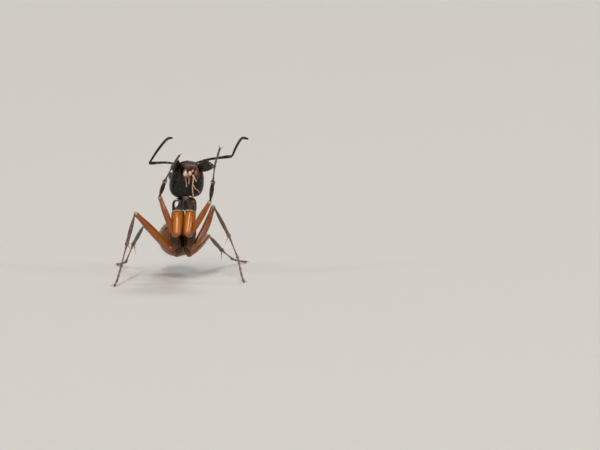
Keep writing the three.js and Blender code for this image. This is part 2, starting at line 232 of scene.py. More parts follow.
def heading(bearing, rise):
    """A unit vector from a bearing, 0 towards -Y and 90 towards +X, and a rise above the floor."""
    b, r = np.radians([bearing, rise])
    return np.array([np.sin(b) * np.cos(r), -np.cos(b) * np.cos(r), np.sin(r)])


def step(value, softness):
    """0 below zero and 1 above it, changing smoothly over about `softness` each way."""
    return 0.5 * (1 + np.tanh(value / softness))


def ridge(value, width):
    """1 where the value is zero, falling off as a bell within about `width`."""
    return np.exp(-((value / width) ** 2))


def smooth(at, *stations):
    """A value that eases through stations (place, value), level at each one."""
    places, values = np.array(stations, float).T
    at = np.clip(at, places[0], places[-1])
    i = np.clip(np.searchsorted(places, at, side="right") - 1, 0, len(places) - 2)
    t = (at - places[i]) / (places[i + 1] - places[i])
    slopes = np.gradient(values, places)
    slopes[0] = slopes[-1] = 0
    gap = places[i + 1] - places[i]
    return (
        (2 * t**3 - 3 * t**2 + 1) * values[i]
        + (t**3 - 2 * t**2 + t) * gap * slopes[i]
        + (3 * t**2 - 2 * t**3) * values[i + 1]
        + (t**3 - t**2) * gap * slopes[i + 1]
    )


def superellipse(angle, power):
    """cos and sin of an angle, each raised to `power`: under 1 squares a circle's corners."""
    c, s = np.cos(angle), np.sin(angle)
    return np.sign(c) * np.abs(c) ** power, np.sign(s) * np.abs(s) ** power


def pacing(power, tall, wide, stop):
    """Two functions for a superellipse from angle 0 to `stop`: the angle at a share of the way
    along its outline, and the share at an angle."""
    angles = np.linspace(0, stop, 3001)
    c, s = superellipse(angles, power)
    way = np.concatenate([[0], np.cumsum(np.hypot(np.diff(c * tall), np.diff(s * wide)))])
    way /= way[-1]
    return (lambda share: np.interp(share, way, angles)), (
        lambda angle: np.interp(angle, angles, way)
    )


class Axes:
    """An origin with the ant's own left, back and front directions there."""

    def __init__(self, origin, rise, yaw):
        turned = np.radians(yaw)
        left = np.array([np.cos(turned), np.sin(turned), 0])
        front = heading(yaw, rise)
        self.origin = np.asarray(origin, float)
        self.turn = np.stack([left, np.cross(front, left), front])

    def place(self, points):
        """Points given as left, up the back and forward, in the frame of the world."""
        return self.origin + np.asarray(points, float) @ self.turn

    def direct(self, vectors):
        """Directions given in these axes, in the frame of the world."""
        return np.asarray(vectors, float) @ self.turn


HEAD = Axes(NECK_PLACE, HEAD_RISE, HEAD_YAW)
TRUNK = Axes(NECK_PLACE, TRUNK_RISE, TRUNK_YAW)
PETIOLE = Axes(TRUNK.place((0, -0.12, -TRUNK_SIZE[2])), PETIOLE_RISE, TRUNK_YAW)
GASTER = Axes(PETIOLE.place((0, 0.02, -0.62)), GASTER_RISE, GASTER_YAW)


def leg_joints(pair, side):
    """The joints of a leg from the root of its coxa to its toe, as an array."""
    joints = [TRUNK.place(COXA_ROOTS[pair][side])]
    for (bearing, rise), reach in zip(LEG_POSES[pair][side], LEG_LENGTHS[pair]):
        if rise is None:
            rise = np.degrees(np.arcsin((FOOT_HEIGHT - joints[-1][2]) / reach))
        joints.append(joints[-1] + heading(bearing, rise) * reach)
    return np.array(joints)


def antenna_joints(side):
    """The joints of an antenna from its root to its tip, as an array."""
    x, y, z = ANTENNA_ROOT
    joints = [HEAD.place((x * SIDES[side], y, z))]
    for turn, reach in zip(ANTENNA_POSES[side], ANTENNA_LENGTHS):
        joints.append(joints[-1] + heading(*turn) * reach)
    return np.array(joints)


# ---- Parts of meshes -----------------------------------------------------------------------------

SKINS = {}  # the grids that hairs grow on, by name


def normals(grid):
    """Unit normals of a grid that closes round, pointing away from its axis: the cross product of
    its slopes round and along."""
    around = np.roll(grid, -1, 1) - np.roll(grid, 1, 1)
    out = unit(np.cross(around, np.gradient(grid, axis=0)))
    away = grid - grid.mean(axis=1, keepdims=True)
    return out * np.sign((out * away).sum())


def sleeve(grid, tone=0.0, ends=None):
    """A closed part over a grid of rows along and columns round it: quads between the rows, and a
    fan from each end row to a pole, which is at that row's middle unless `ends` gives it. `tone`
    is how far each point's colour has changed from the first to the second of its material."""
    rows, sides = grid.shape[:2]
    ends = (grid[0].mean(0), grid[-1].mean(0)) if ends is None else ends
    tone = np.broadcast_to(tone, (rows, sides))
    i, j = np.meshgrid(np.arange(rows - 1), np.arange(sides), indexing="ij")
    after = (j + 1) % sides
    near, far = i * sides, (i + 1) * sides
    quads = np.stack([near + j, near + after, far + after, far + j], -1)
    u, v = j / sides, (i + 1) / (rows + 1)
    du, dv = 1 / sides, 1 / (rows + 1)
    quad_map = np.stack(
        [np.stack([u, u + du, u + du, u], -1), np.stack([v, v, v + dv, v + dv], -1)], -1
    )
    k = np.arange(sides)
    after = (k + 1) % sides
    first, last = rows * sides, rows * sides + 1
    tris = np.concatenate(
        [
            np.stack([np.full(sides, first), after, k], -1),
            np.stack([np.full(sides, last), (rows - 1) * sides + k, (rows - 1) * sides + after], -1),
        ]
    )
    middle, before, beyond, low = (k + 0.5) * du, k * du, (k + 1) * du, 0 * k
    tri_map = np.concatenate(
        [
            np.stack([middle, low, beyond, low + dv, before, low + dv], -1),
            np.stack([middle, low + 1, before, low + 1 - dv, beyond, low + 1 - dv], -1),
        ]
    ).reshape(-1, 3, 2)
    part = {
        "points": np.concatenate([grid.reshape(-1, 3), np.array(ends).reshape(2, 3)]),
        "quads": quads.reshape(-1, 4),
        "quad_map": quad_map.reshape(-1, 4, 2),
        "tris": tris,
        "tri_map": tri_map,
        "tone": np.concatenate([tone.ravel(), [tone[0].mean(), tone[-1].mean()]]),
    }
    return outward(part)


def outward(part):
    """The part with its faces turned to point out, if the volume they enclose is negative."""
    points = part["points"]
    tris = np.concatenate([part["tris"], part["quads"][:, :3], part["quads"][:, [0, 2, 3]]])
    a, b, c = (points[tris[:, i]] - points.mean(0) for i in range(3))
    if (a * np.cross(b, c)).sum() < 0:
        for name in ("quads", "quad_map", "tris", "tri_map"):
            part[name] = part[name][:, ::-1]
    return part


def join(parts):
    """Several parts as one."""
    starts = np.cumsum([0] + [len(p["points"]) for p in parts[:-1]])
    names = ("points", "quad_map", "tri_map", "tone")
    whole = {name: np.concatenate([p[name] for p in parts]) for name in names}
    for name in ("quads", "tris"):
        whole[name] = np.concatenate([p[name] + start for p, start in zip(parts, starts)])
    return whole


def make_piece(name, parts, material, nodes=(), uv_name="surface"):
    """One object of the given parts, which rides on the frame and stands for the given nodes."""
    whole = join(parts)
    mesh = bpy.data.meshes.new(name)
    mesh.from_pydata(
        (whole["points"] * MM).tolist(), [], whole["quads"].tolist() + whole["tris"].tolist()
    )
    layer = mesh.uv_layers.new(name=uv_name)
    flat = np.concatenate([whole["quad_map"].ravel(), whole["tri_map"].ravel()])
    layer.data.foreach_set("uv", flat.astype(np.float32))
    tone = mesh.attributes.new("tone", "FLOAT", "POINT")
    tone.data.foreach_set("value", whole["tone"].astype(np.float32))
    mesh.shade_smooth()
    mesh.materials.append(material)
    piece = bpy.data.objects.new(name, mesh)
    bpy.context.scene.collection.objects.link(piece)
    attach(piece, "root")
    if nodes:
        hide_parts(*nodes)
    return piece


def body_grid(size, centre, bend, rows, sides, blunt=1.0, square=1.0, between=None):
    """A rounded body: a superellipse turned about the front axis, squared by `square` in section
    and by `blunt` along, then bent by a function of its coordinates from -1 to 1. Rows and columns
    are evenly spaced over the surface. `between` gives its first and last polar angles, each of
    them one number or one for each column."""
    wide, tall, deep = np.array(size) / 2
    angle_at, share_at = pacing(blunt, deep, (wide + tall) / 2, np.pi)
    turn_at, _ = pacing(square, tall, wide, TAU)
    up, side = superellipse(turn_at(np.arange(sides) / sides), square)
    first, last = (0, 1) if between is None else (share_at(b) for b in between)
    margin = 0.5 / rows if between is None else 0
    share = np.linspace(margin, 1 - margin, rows)[:, None]
    along, out = superellipse(angle_at(first + (last - first) * share), blunt)
    x, y, z = np.broadcast_arrays(side * out, up * out, along)
    return np.stack(bend(x, y, z), -1) * (wide, tall, deep) + centre


def straight(x, y, z):
    """No bend."""
    return x, y, z


def relieved(grid, height):
    """A grid whose points are moved out along its normals by `height`."""
    return grid + normals(grid) * np.asarray(height)[..., None]


def ball(axes, centre, size, rows=24, sides=32, **options):
    """A rounded body's grid, placed by the axes."""
    bend = options.pop("bend", straight)
    return axes.place(body_grid(size, centre, bend, rows, sides, **options))


def route(points):
    """A smooth path through points, as closely spaced places: the cubic between two points has
    there the slopes of the chords past them."""
    points = np.asarray(points, float)
    ends = np.concatenate([[2 * points[0] - points[1]], points, [2 * points[-1] - points[-2]]])
    a, b, c, d = (ends[i : len(ends) - 3 + i][:, None] for i in range(4))
    t = np.linspace(0, 1, 40, endpoint=False)[None, :, None]
    square, cube = 2 * a - 5 * b + 4 * c - d, 3 * b - a - 3 * c + d
    places = 0.5 * (2 * b + (c - a) * t + square * t**2 + cube * t**3)
    return np.concatenate([places.reshape(-1, 3), points[-1:]])


def places_on(path, share):
    """The places at shares of a path's length."""
    way = np.concatenate([[0], np.cumsum(np.linalg.norm(np.diff(path, axis=0), axis=1))])
    return np.stack([np.interp(share * way[-1], way, path[:, i]) for i in range(3)], -1)


def limb_grid(path, radius, side, flat=1.0, rows=48, sides=24, caps=(0.05, 0.05), relief=None):
    """A limb along a path: at a share s of its length the section is an ellipse of half width
    radius(s), `flat` times as deep across `side`, and at each end it closes in a quarter ellipse
    as long as that share in `caps`. relief(s, turn) scales it round the section. Also gives s."""
    q = np.linspace(0, np.pi / 2, 8)[1:]
    start, stop = caps
    middle = np.linspace(start, 1 - stop, rows)[1:-1]
    s = np.concatenate([start * (1 - np.cos(q)), middle, 1 - stop * (1 - np.cos(q[::-1]))])
    closed = np.concatenate([np.sin(q), np.ones(len(middle)), np.sin(q[::-1])])
    path = np.asarray(path, float)
    places = places_on(path, s)
    beyond, before = np.minimum(s + 0.01, 1), np.maximum(s - 0.01, 0)
    ahead = unit(places_on(path, beyond) - places_on(path, before))
    across = unit(side - (ahead @ side)[:, None] * ahead)
    up = np.cross(ahead, across)
    turn = np.arange(sides) / sides * TAU
    half = (radius(s) * closed)[:, None] * np.ones(sides)
    if relief is not None:
        half = half * relief(s[:, None], turn[None])
    c, d = (half * np.cos(turn))[..., None], (half * flat * np.sin(turn))[..., None]
    return places[:, None] + across[:, None] * c + up[:, None] * d, s[:, None] * np.ones(sides)


HAIR_RINGS = 4  # along a hair, below its tip
HAIR_FLOOR = 0.001  # the lowest that a hair may reach
PATCH_SIZE = 0.003  # of a hair on the map


def hairs_part(roots, ways, bows, lengths, radius, patches):
    """Tapered three-sided hairs: each runs from its root along its way, bows by the square of how
    far along it is, and thins evenly to a point. None goes below the floor. `patches` are the
    roots' places on the map."""
    count, rings = len(roots), HAIR_RINGS
    share = np.arange(rings) / rings
    k = share[None, :, None]
    far = lengths[:, None, None]
    lines = roots[:, None] + ways[:, None] * k * far + bows[:, None] * k**2 * far
    tips = roots + (ways + bows) * lengths[:, None]
    across = unit(np.cross(ways, np.array([0.31, 0.53, 0.79])))
    up = np.cross(ways, across)
    turn = np.arange(3) / 3 * TAU
    spread = across[:, None] * np.cos(turn)[:, None] + up[:, None] * np.sin(turn)[:, None]
    tube = lines[:, :, None] + spread[:, None] * radius * (1 - k[..., None])
    points = np.concatenate([tube.reshape(count, -1, 3), tips[:, None]], axis=1)
    points[..., 2] = np.maximum(points[..., 2], HAIR_FLOOR)
    ring, corner = np.meshgrid(np.arange(rings - 1), np.arange(3), indexing="ij")
    after = (corner + 1) % 3
    near, far = ring * 3, (ring + 1) * 3
    quad = np.stack([near + corner, near + after, far + after, far + corner], -1)
    j = np.arange(3)
    top = (rings - 1) * 3
    point = np.stack([top + j, top + (j + 1) % 3, np.full(3, rings * 3)], -1)
    tri = np.concatenate([point, [[2, 1, 0]]])
    starts = (np.arange(count) * (rings * 3 + 1))[:, None, None]
    quads = (quad.reshape(-1, 4)[None] + starts).reshape(-1, 4)
    tris = (tri[None] + starts).reshape(-1, 3)
    along = np.concatenate([np.repeat(share, 3), [1]])
    patch = np.stack([np.concatenate([np.tile(j / 3, rings), [0.5]]), along], -1)
    spots = (patches[:, None] + patch[None] * PATCH_SIZE).reshape(-1, 2)
    part = {
        "points": points.reshape(-1, 3),
        "quads": quads,
        "quad_map": spots[quads],
        "tris": tris,
        "tri_map": spots[tris],
        "tone": np.tile(along, count),
    }
    return outward(part)




def grow(rng, grid, count, far, lift, where=None, radius=None, band=(0, 1)):
    """Hairs at random places of a grid: each leans back along the rows and stands up by `lift`.
    where(u, v) keeps the share of them that it gives, from 0 to 1. `band` is the grid's own strip
    of the map."""
    rows, sides = grid.shape[:2]
    u, v, keep, vary = rng.random((4, count))
    kept = slice(None) if where is None else keep < where(u, v)
    u, v, vary = u[kept], v[kept], vary[kept]
    i = np.clip(v * (rows - 1), 0, rows - 1.001)
    j = u * sides
    i0, j0 = i.astype(int), j.astype(int) % sides
    fi, fj = (i - i0)[:, None], (j - j.astype(int))[:, None]
    j1 = (j0 + 1) % sides
    roots = (grid[i0, j0] * (1 - fj) + grid[i0, j1] * fj) * (1 - fi)
    roots = roots + (grid[i0 + 1, j0] * (1 - fj) + grid[i0 + 1, j1] * fj) * fi
    out = normals(grid)[i0, j0]
    back = unit(grid[i0 + 1, j0] - grid[i0, j0])
    scatter = rng.normal(0, 0.18, (len(u), 3))
    ways = unit(out * lift + back * (1 - lift) + scatter * (0.4 + lift))
    bows = back * 0.25 - out * 0.12 * lift
    radius = settings().coat.thickness / MM if radius is None else radius
    low, high = band
    patches = np.stack([u, low + (high - low) * v], -1) * (1 - PATCH_SIZE)
    return hairs_part(roots - out * radius, ways, bows, far * (0.7 + 0.6 * vary), radius, patches)


# ---- Materials -----------------------------------------------------------------------------------


def add(tree, kind, values=None, **choices):
    """Adds a node: `choices` are its own settings, and `values` fills its inputs, by name or
    number, with constants or with the outputs of other nodes."""
    node = tree.nodes.new(kind)
    for name, choice in choices.items():
        setattr(node, name, choice)
    for name, value in (values or {}).items():
        if isinstance(value, bpy.types.NodeSocket):
            tree.links.new(value, node.inputs[name])
        else:
            node.inputs[name].default_value = value
    return node


def per_metre(millimetres):
    """A pattern's scale, for marks of that size."""
    return 1 / (millimetres * MM)


def opaque(rgb):
    """A colour with full alpha."""
    return (*rgb[:3], 1.0)


def new_material(name):
    """An empty material and its node tree, or the one made before and None."""
    material = bpy.data.materials.get(name)
    if material is not None:
        return material, None
    material = bpy.data.materials.new(name)
    material.use_nodes = True
    material.node_tree.nodes.clear()
    return material, material.node_tree


NOISE_LOW, NOISE_HIGH = 0.3, 0.7  # the values between which most of a noise lies
CELL_WALL = 0.12  # half width of the wall between two cells, as a share of a cell


def chitin(name, first, second, gloss, cell=0.035, relief=0.2, mottle=0.25, clear=0.0, shine=0.1):
    """Insect shell, which is chitin hardened in air: a smooth lacquer-like skin over a net of cell
    walls. Its colour goes from `first` to `second` with the tone, and clouds about half a
    millimetre wide lighten and darken it by up to `mottle`. `gloss` is its roughness, `relief` how
    deep the net looks, `shine` the weight of the clear coat, and `clear` how far light goes into
    it. `cell` is a cell's width in millimetres, which is twice the real one so that the net shows,
    and four times on the jaws."""
    material, tree = new_material(name)
    if tree is None:
        return material
    place = add(tree, "ShaderNodeTexCoord").outputs["Object"]
    tone = add(tree, "ShaderNodeAttribute", attribute_name="tone").outputs["Fac"]
    mix = add(
        tree,
        "ShaderNodeMix",
        {"Factor": tone, "A": opaque(first), "B": opaque(second)},
        data_type="RGBA",
    )
    clouds = add(
        tree,
        "ShaderNodeTexNoise",
        {"Vector": place, "Scale": per_metre(0.5), "Detail": 4.0, "Roughness": 0.6},
    )
    shade = add(
        tree,
        "ShaderNodeMapRange",
        {
            "Value": clouds.outputs["Fac"],
            "From Min": NOISE_LOW,
            "From Max": NOISE_HIGH,
            "To Min": 1 - mottle,
            "To Max": 1 + mottle,
        },
    )
    tinted = add(
        tree,
        "ShaderNodeHueSaturation",
        {"Color": mix.outputs["Result"], "Value": shade.outputs["Result"]},
    )
    net = add(
        tree,
        "ShaderNodeTexVoronoi",
        {"Vector": place, "Scale": per_metre(cell)},
        feature="DISTANCE_TO_EDGE",
    )
    walls = add(
        tree,
        "ShaderNodeMapRange",
        {"Value": net.outputs["Distance"], "From Min": 0.0, "From Max": CELL_WALL},
    )
    grain = add(
        tree,
        "ShaderNodeTexNoise",
        {"Vector": place, "Scale": per_metre(0.12), "Detail": 3.0},
    )
    height = add(
        tree,
        "ShaderNodeMath",
        {0: walls.outputs["Result"], 1: grain.outputs["Fac"]},
        operation="ADD",
    )
    bump = add(
        tree,
        "ShaderNodeBump",
        {"Height": height.outputs["Value"], "Strength": relief, "Distance": 0.0022 * MM},
    )
    rough = add(
        tree,
        "ShaderNodeMapRange",
        {
            "Value": grain.outputs["Fac"],
            "From Min": NOISE_LOW,
            "From Max": NOISE_HIGH,
            "To Min": gloss * 0.8,
            "To Max": gloss * 1.3,
        },
    )
    skin = add(
        tree,
        "ShaderNodeBsdfPrincipled",
        {
            "Base Color": tinted.outputs["Color"],
            "Roughness": rough.outputs["Result"],
            "Normal": bump.outputs["Normal"],
            "IOR": 1.56,
            "Specular IOR Level": 0.22,
            "Coat Weight": shine,
            "Coat Roughness": 0.12,
            "Subsurface Weight": clear,
            "Subsurface Radius": (1.0, 0.45, 0.15),
            "Subsurface Scale": 0.18 * MM,
        },
    )
    add(tree, "ShaderNodeOutputMaterial", {"Surface": skin.outputs["BSDF"]})
    return material


def black_chitin():
    """Polished black shell, with brown rims."""
    c = settings().colours
    return chitin("black_chitin", c.black, c.brown, gloss=0.2)


def trunk_chitin():
    """Polished black-brown shell of the prothorax, warmer where it thins."""
    c = settings().colours
    return chitin("trunk_chitin", c.black, c.rust, gloss=0.3, relief=0.35, shine=0.7)


def rust_chitin():
    """Satin rust-brown shell."""
    c = settings().colours
    return chitin("rust_chitin", c.rust, c.brown, gloss=0.32, clear=0.1)


def orange_chitin():
    """Clear orange shell of the fore coxae, with painted light and shade: amber where it faces
    the front and browner at its sides. Its ends are browner too.
    """
    c = settings().colours
    return chitin("orange_chitin", c.amber, c.sienna, gloss=0.28, clear=0.15, mottle=0.15, shine=0.4)


def shaded_umber_chitin():
    """Painted shade: the middle and hind coxae are drawn dark brown, as if in the shadow of the fore
    coxae, and more orange at the tip.
    """
    c = settings().colours
    return chitin("shaded_umber_chitin", c.umber, c.orange, gloss=0.24, shine=0.3)


def femur_chitin():
    """Tan shell, with a painted pale sheen at the knee."""
    c = settings().colours
    return chitin("femur_chitin", c.tan, c.silver, gloss=0.24, clear=0.08, mottle=0.25, shine=0.4)


def dark_shin_chitin():
    """Black shell of the fore tibiae and tarsi, with a painted grey sheen where they join."""
    c = settings().colours
    return chitin("dark_shin_chitin", c.black, c.silver, gloss=0.34, mottle=0.3)


def plum_chitin():
    """Dull plum-brown shell of the middle and hind tibiae and tarsi, with a painted grey sheen where
    they join.
    """
    c = settings().colours
    return chitin("plum_chitin", c.plum, c.silver, gloss=0.38, mottle=0.3)


def gaster_chitin():
    """Shell of the gaster's front ring: orange, darkened all over by painted shade, with a brown rim.
    """
    c = settings().colours
    return chitin("gaster_chitin", c.orange, c.brown, gloss=0.3, clear=0.2)


def dark_gaster_chitin():
    """Near-black shell of the gaster's rear rings, amber along their thin rims."""
    c = settings().colours
    return chitin("dark_gaster_chitin", c.bister, c.orange, gloss=0.3)


def mouth_chitin():
    """Thin red-brown shell of the mouthparts."""
    c = settings().colours
    return chitin("mouth_chitin", c.rust, c.brown, gloss=0.36, clear=0.1, relief=0.3)


def lip_chitin():
    """Dull purplish-brown shell of the upper lip."""
    c = settings().colours
    return chitin("lip_chitin", c.lip, c.black, gloss=0.45, relief=0.3, shine=0.0)


def jaw_chitin():
    """Hard black shell of the jaws, brown at the teeth, with a coarser net of cells that glints."""
    c = settings().colours
    return chitin("jaw_chitin", c.black, c.brown, gloss=0.15, cell=0.07, relief=0.9, shine=0.5)


def soft_skin(name, first, second, wetness):
    """Soft, unhardened skin: pale and cloudy, with fine folds, and wet where `wetness` is high."""
    material, tree = new_material(name)
    if tree is None:
        return material
    place = add(tree, "ShaderNodeTexCoord").outputs["Object"]
    folds = add(
        tree,
        "ShaderNodeTexNoise",
        {"Vector": place, "Scale": per_metre(0.08), "Detail": 4.0, "Distortion": 0.6},
    )
    tone = add(tree, "ShaderNodeAttribute", attribute_name="tone").outputs["Fac"]
    mix = add(
        tree,
        "ShaderNodeMix",
        {"Factor": tone, "A": opaque(first), "B": opaque(second)},
        data_type="RGBA",
    )
    shade = add(
        tree,
        "ShaderNodeMapRange",
        {
            "Value": folds.outputs["Fac"],
            "From Min": NOISE_LOW,
            "From Max": NOISE_HIGH,
            "To Min": 0.72,
            "To Max": 1.12,
        },
    )
    tinted = add(
        tree,
        "ShaderNodeHueSaturation",
        {"Color": mix.outputs["Result"], "Value": shade.outputs["Result"]},
    )
    bump = add(
        tree,
        "ShaderNodeBump",
        {"Height": folds.outputs["Fac"], "Strength": 0.7, "Distance": 0.01 * MM},
    )
    skin = add(
        tree,
        "ShaderNodeBsdfPrincipled",
        {
            "Base Color": tinted.outputs["Color"],
            "Roughness": 0.45,
            "Normal": bump.outputs["Normal"],
            "Coat Weight": wetness,
            "Coat Roughness": 0.08,
            "Subsurface Weight": 0.5,
            "Subsurface Radius": (1.0, 0.6, 0.4),
            "Subsurface Scale": 0.1 * MM,
        },
    )
    add(tree, "ShaderNodeOutputMaterial", {"Surface": skin.outputs["BSDF"]})
    return material


def membrane_skin():
    """Pinkish joint membrane, browner in bands."""
    c = settings().colours
    return soft_skin("joint_membrane", c.membrane, c.brown, 0.4)


def palp_skin():
    """Straw-coloured thin shell of the palps, some of which have browned."""
    c = settings().colours
    return soft_skin("palp_shell", c.palp, linear("#86584a"), 0.3)


def tongue_skin():
    """Wet whitish skin of the tongue and the soft lobes beside it, some of which have browned."""
    return soft_skin("tongue_skin", linear("#d8c6b4"), linear("#8a5a32"), 0.9)


def eye_shell():
    """Compound eye: clear lenses over black, each one bulging, so that it glints in points."""
    material, tree = new_material("eye_lenses")
    if tree is None:
        return material
    place = add(tree, "ShaderNodeTexCoord").outputs["Object"]
    spots = add(
        tree,
        "ShaderNodeTexVoronoi",
        {"Vector": place, "Scale": per_metre(0.035)},
        feature="F1",
    )
    shade = add(
        tree,
        "ShaderNodeMix",
        {
            "Factor": spots.outputs["Distance"],
            "A": opaque(settings().colours.eye),
            "B": opaque(linear("#2a2220")),
        },
        data_type="RGBA",
    )
    skin = add(
        tree,
        "ShaderNodeBsdfPrincipled",
        {
            "Base Color": shade.outputs["Result"],
            "Roughness": 0.16,
            "IOR": 1.5,
            "Coat Weight": 0.8,
            "Coat Roughness": 0.05,
        },
    )
    add(tree, "ShaderNodeOutputMaterial", {"Surface": skin.outputs["BSDF"]})
    return material


def hair_keratin(name, rgb, tip):
    """Insect bristle: stiff clear chitin, golden against the light, paler at its tip."""
    material, tree = new_material(name)
    if tree is None:
        return material
    tone = add(tree, "ShaderNodeAttribute", attribute_name="tone").outputs["Fac"]
    mix = add(
        tree,
        "ShaderNodeMix",
        {"Factor": tone, "A": opaque(rgb), "B": opaque(tip)},
        data_type="RGBA",
    )
    skin = add(
        tree,
        "ShaderNodeBsdfPrincipled",
        {
            "Base Color": mix.outputs["Result"],
            "Roughness": 0.35,
            "IOR": 1.55,
            "Sheen Weight": 0.3,
        },
    )
    add(tree, "ShaderNodeOutputMaterial", {"Surface": skin.outputs["BSDF"]})
    return material


def golden_hair():
    """Golden bristles."""
    return hair_keratin("golden_bristle", settings().colours.hair, linear("#e6c98c"))


def pale_spine():
    """Pale spines below the tibiae."""
    return hair_keratin("pale_spine", linear("#8a6a55"), linear("#d8cabb"))


def paper():
    """Matt paper: pale, with a faint fibre."""
    material, tree = new_material("floor_paper")
    if tree is None:
        return material
    place = add(tree, "ShaderNodeTexCoord").outputs["Object"]
    fibre = add(
        tree,
        "ShaderNodeTexNoise",
        {"Vector": place, "Scale": per_metre(1.5), "Detail": 5.0, "Distortion": 0.4},
    )
    bump = add(
        tree,
        "ShaderNodeBump",
        {"Height": fibre.outputs["Fac"], "Strength": 0.15, "Distance": 0.02 * MM},
    )
    skin = add(
        tree,
        "ShaderNodeBsdfPrincipled",
        {
            "Base Color": opaque(settings().colours.floor),
            "Roughness": 0.85,
            "Normal": bump.outputs["Normal"],
        },
    )
    add(tree, "ShaderNodeOutputMaterial", {"Surface": skin.outputs["BSDF"]})
    return material


# ---- Head ----------------------------------------------------------------------------------------

SKIN_DEPTH = 0.985  # the skin's size as a share of the frame's solids
MOUTH_WIDTH = 1.0
MOUTH_REAR = 1.34  # where the mouth opening starts, ahead of the neck


def head_bend(x, y, z):
    """Widest behind its middle, flatter below, with two rounded lobes at the back."""
    z = z - 0.1 * np.maximum(0, -z) * (2 * x * x - 1)
    x = x * (1 - 0.1 * z - 0.08 * z * z)
    y = y * np.where(y < 0, 0.84, 1.0) * (1 - 0.14 * z)
    return x, y, z


def mouth_depth(x, z):
    """How far a place is inside the mouth opening, whose rear corners are rounded."""
    rear = np.maximum(0, 1.9 - z) / (1.9 - MOUTH_REAR)
    return MOUTH_WIDTH / 2 * (1 - ((2 * np.abs(x) / MOUTH_WIDTH) ** 3 + rear**3) ** (1 / 3))


def head_relief(x, y, z):
    """How far the skin stands out, by its place in the head's axes. Above: the clypeus, which is a
    keeled plate with a seam round it, two ridges that spread back from the antennae, their sockets,
    and a fine line between. Below: a mouth opening with a raised rim, and a seam along the middle."""
    out = np.abs(x)
    above = step(y - 0.05, 0.08)
    below = 1 - above
    plate = np.minimum(0.38 + 0.35 * (z - 1.5) - out, z - 1.5)
    height = above * (0.03 * step(plate, 0.02) - 0.03 * ridge(plate, 0.035))
    height += above * 0.03 * ridge(x, 0.05) * step(z - 1.55, 0.05)
    spread = 0.22 + 0.3 * (1.85 - z)
    length_mask = step(z - 1.15, 0.06) * step(1.86 - z, 0.04)
    height += above * 0.05 * ridge(out - spread, 0.04) * length_mask
    socket = np.hypot(out - ANTENNA_ROOT[0], z - ANTENNA_ROOT[2])
    height += above * (0.03 * ridge(socket - 0.17, 0.04) - 0.12 * ridge(socket, 0.1))
    height -= above * 0.02 * ridge(x, 0.03) * step(z - 0.95, 0.05) * step(1.5 - z, 0.05)
    mouth = mouth_depth(x, z)
    height += below * (0.05 * ridge(mouth + 0.05, 0.045) - 0.14 * step(mouth, 0.04))
    height -= below * 0.02 * ridge(x, 0.035) * step(z - 0.3, 0.06) * step(MOUTH_REAR - z, 0.05)
    height -= below * 0.24 * ridge(x, 0.22) * step(0.2 - z, 0.07)
    height += below * 0.03 * ridge(out - 0.5, 0.3) * ridge(z - 0.55, 0.5)
    cheek = ridge(out - 0.62, 0.05) * step(z - 1.5, 0.1) * below
    return height - 0.02 * cheek


def head_grid():
    """The head's skin, in its own axes."""
    size = np.array(HEAD_SIZE) * SKIN_DEPTH
    grid = body_grid(size, (0, 0, HEAD_MIDDLE), head_bend, 170, 220, blunt=0.72, square=0.85)
    return relieved(grid, head_relief(*np.moveaxis(grid, -1, 0)))


class ANT_OT_head(bpy.types.Operator):
    """Makes the head's capsule"""

    bl_idname = "ant.head"
    bl_label = "Head"

    def execute(self, context):
        grid = head_grid()
        x, y, z = np.moveaxis(grid, -1, 0)
        rim = mouth_depth(x, z)
        tone = ridge(rim, 0.09) * step(-y, 0.1) * 0.9
        tone = np.maximum(tone, 0.5 * step(z - 2.08, 0.04))
        SKINS["head"] = HEAD.place(grid)
        part = sleeve(SKINS["head"], tone)
        make_piece("head_capsule", [part], black_chitin(), ["head"])
        return {"FINISHED"}


EYE_PLACE = (0.88, 0.3, 1.2)
LENS = 0.035  # across one lens, drawn twice as large as a real one


def eye_grid(out):
    """An eye as a dome of lenses: bumps where three waves, each turned a third of a circle from
    the last, all crest."""
    size = np.array(EYE_SIZE) * 0.98
    centre = (EYE_PLACE[0] * out, *EYE_PLACE[1:])
    grid = body_grid(size, centre, straight, 120, 120)
    _, y, z = np.moveaxis(grid, -1, 0)
    waves = [np.cos(TAU / LENS * (y * np.cos(a) + z * np.sin(a))) for a in (0, TAU / 3, 2 * TAU / 3)]
    return relieved(grid, 0.0025 * sum(waves))


class ANT_OT_eyes(bpy.types.Operator):
    """Makes both compound eyes"""

    bl_idname = "ant.eyes"
    bl_label = "Eyes"

    def execute(self, context):
        for side, out in SIDES.items():
            part = sleeve(HEAD.place(eye_grid(out)))
            make_piece("eye_dome_" + side, [part], eye_shell(), ["eye_" + side])
        return {"FINISHED"}


JAW_HINGE = (0.6, -0.3, 1.98)
JAW_LENGTH, JAW_WIDTH, JAW_THICKNESS = 0.95, 0.72, 0.3
JAW_TEETH = 5
TOOTH = 0.075


def jaw_axes(out):
    """A jaw's own length, width and thickness directions, in the head's axes."""
    along = unit((0.75 * out, -0.58, 0.3))
    wide = np.array((-0.24 * out, 0.18, 0.95))
    wide = unit(wide - along * (wide @ along))
    return np.stack([along, wide, np.cross(along, wide)])


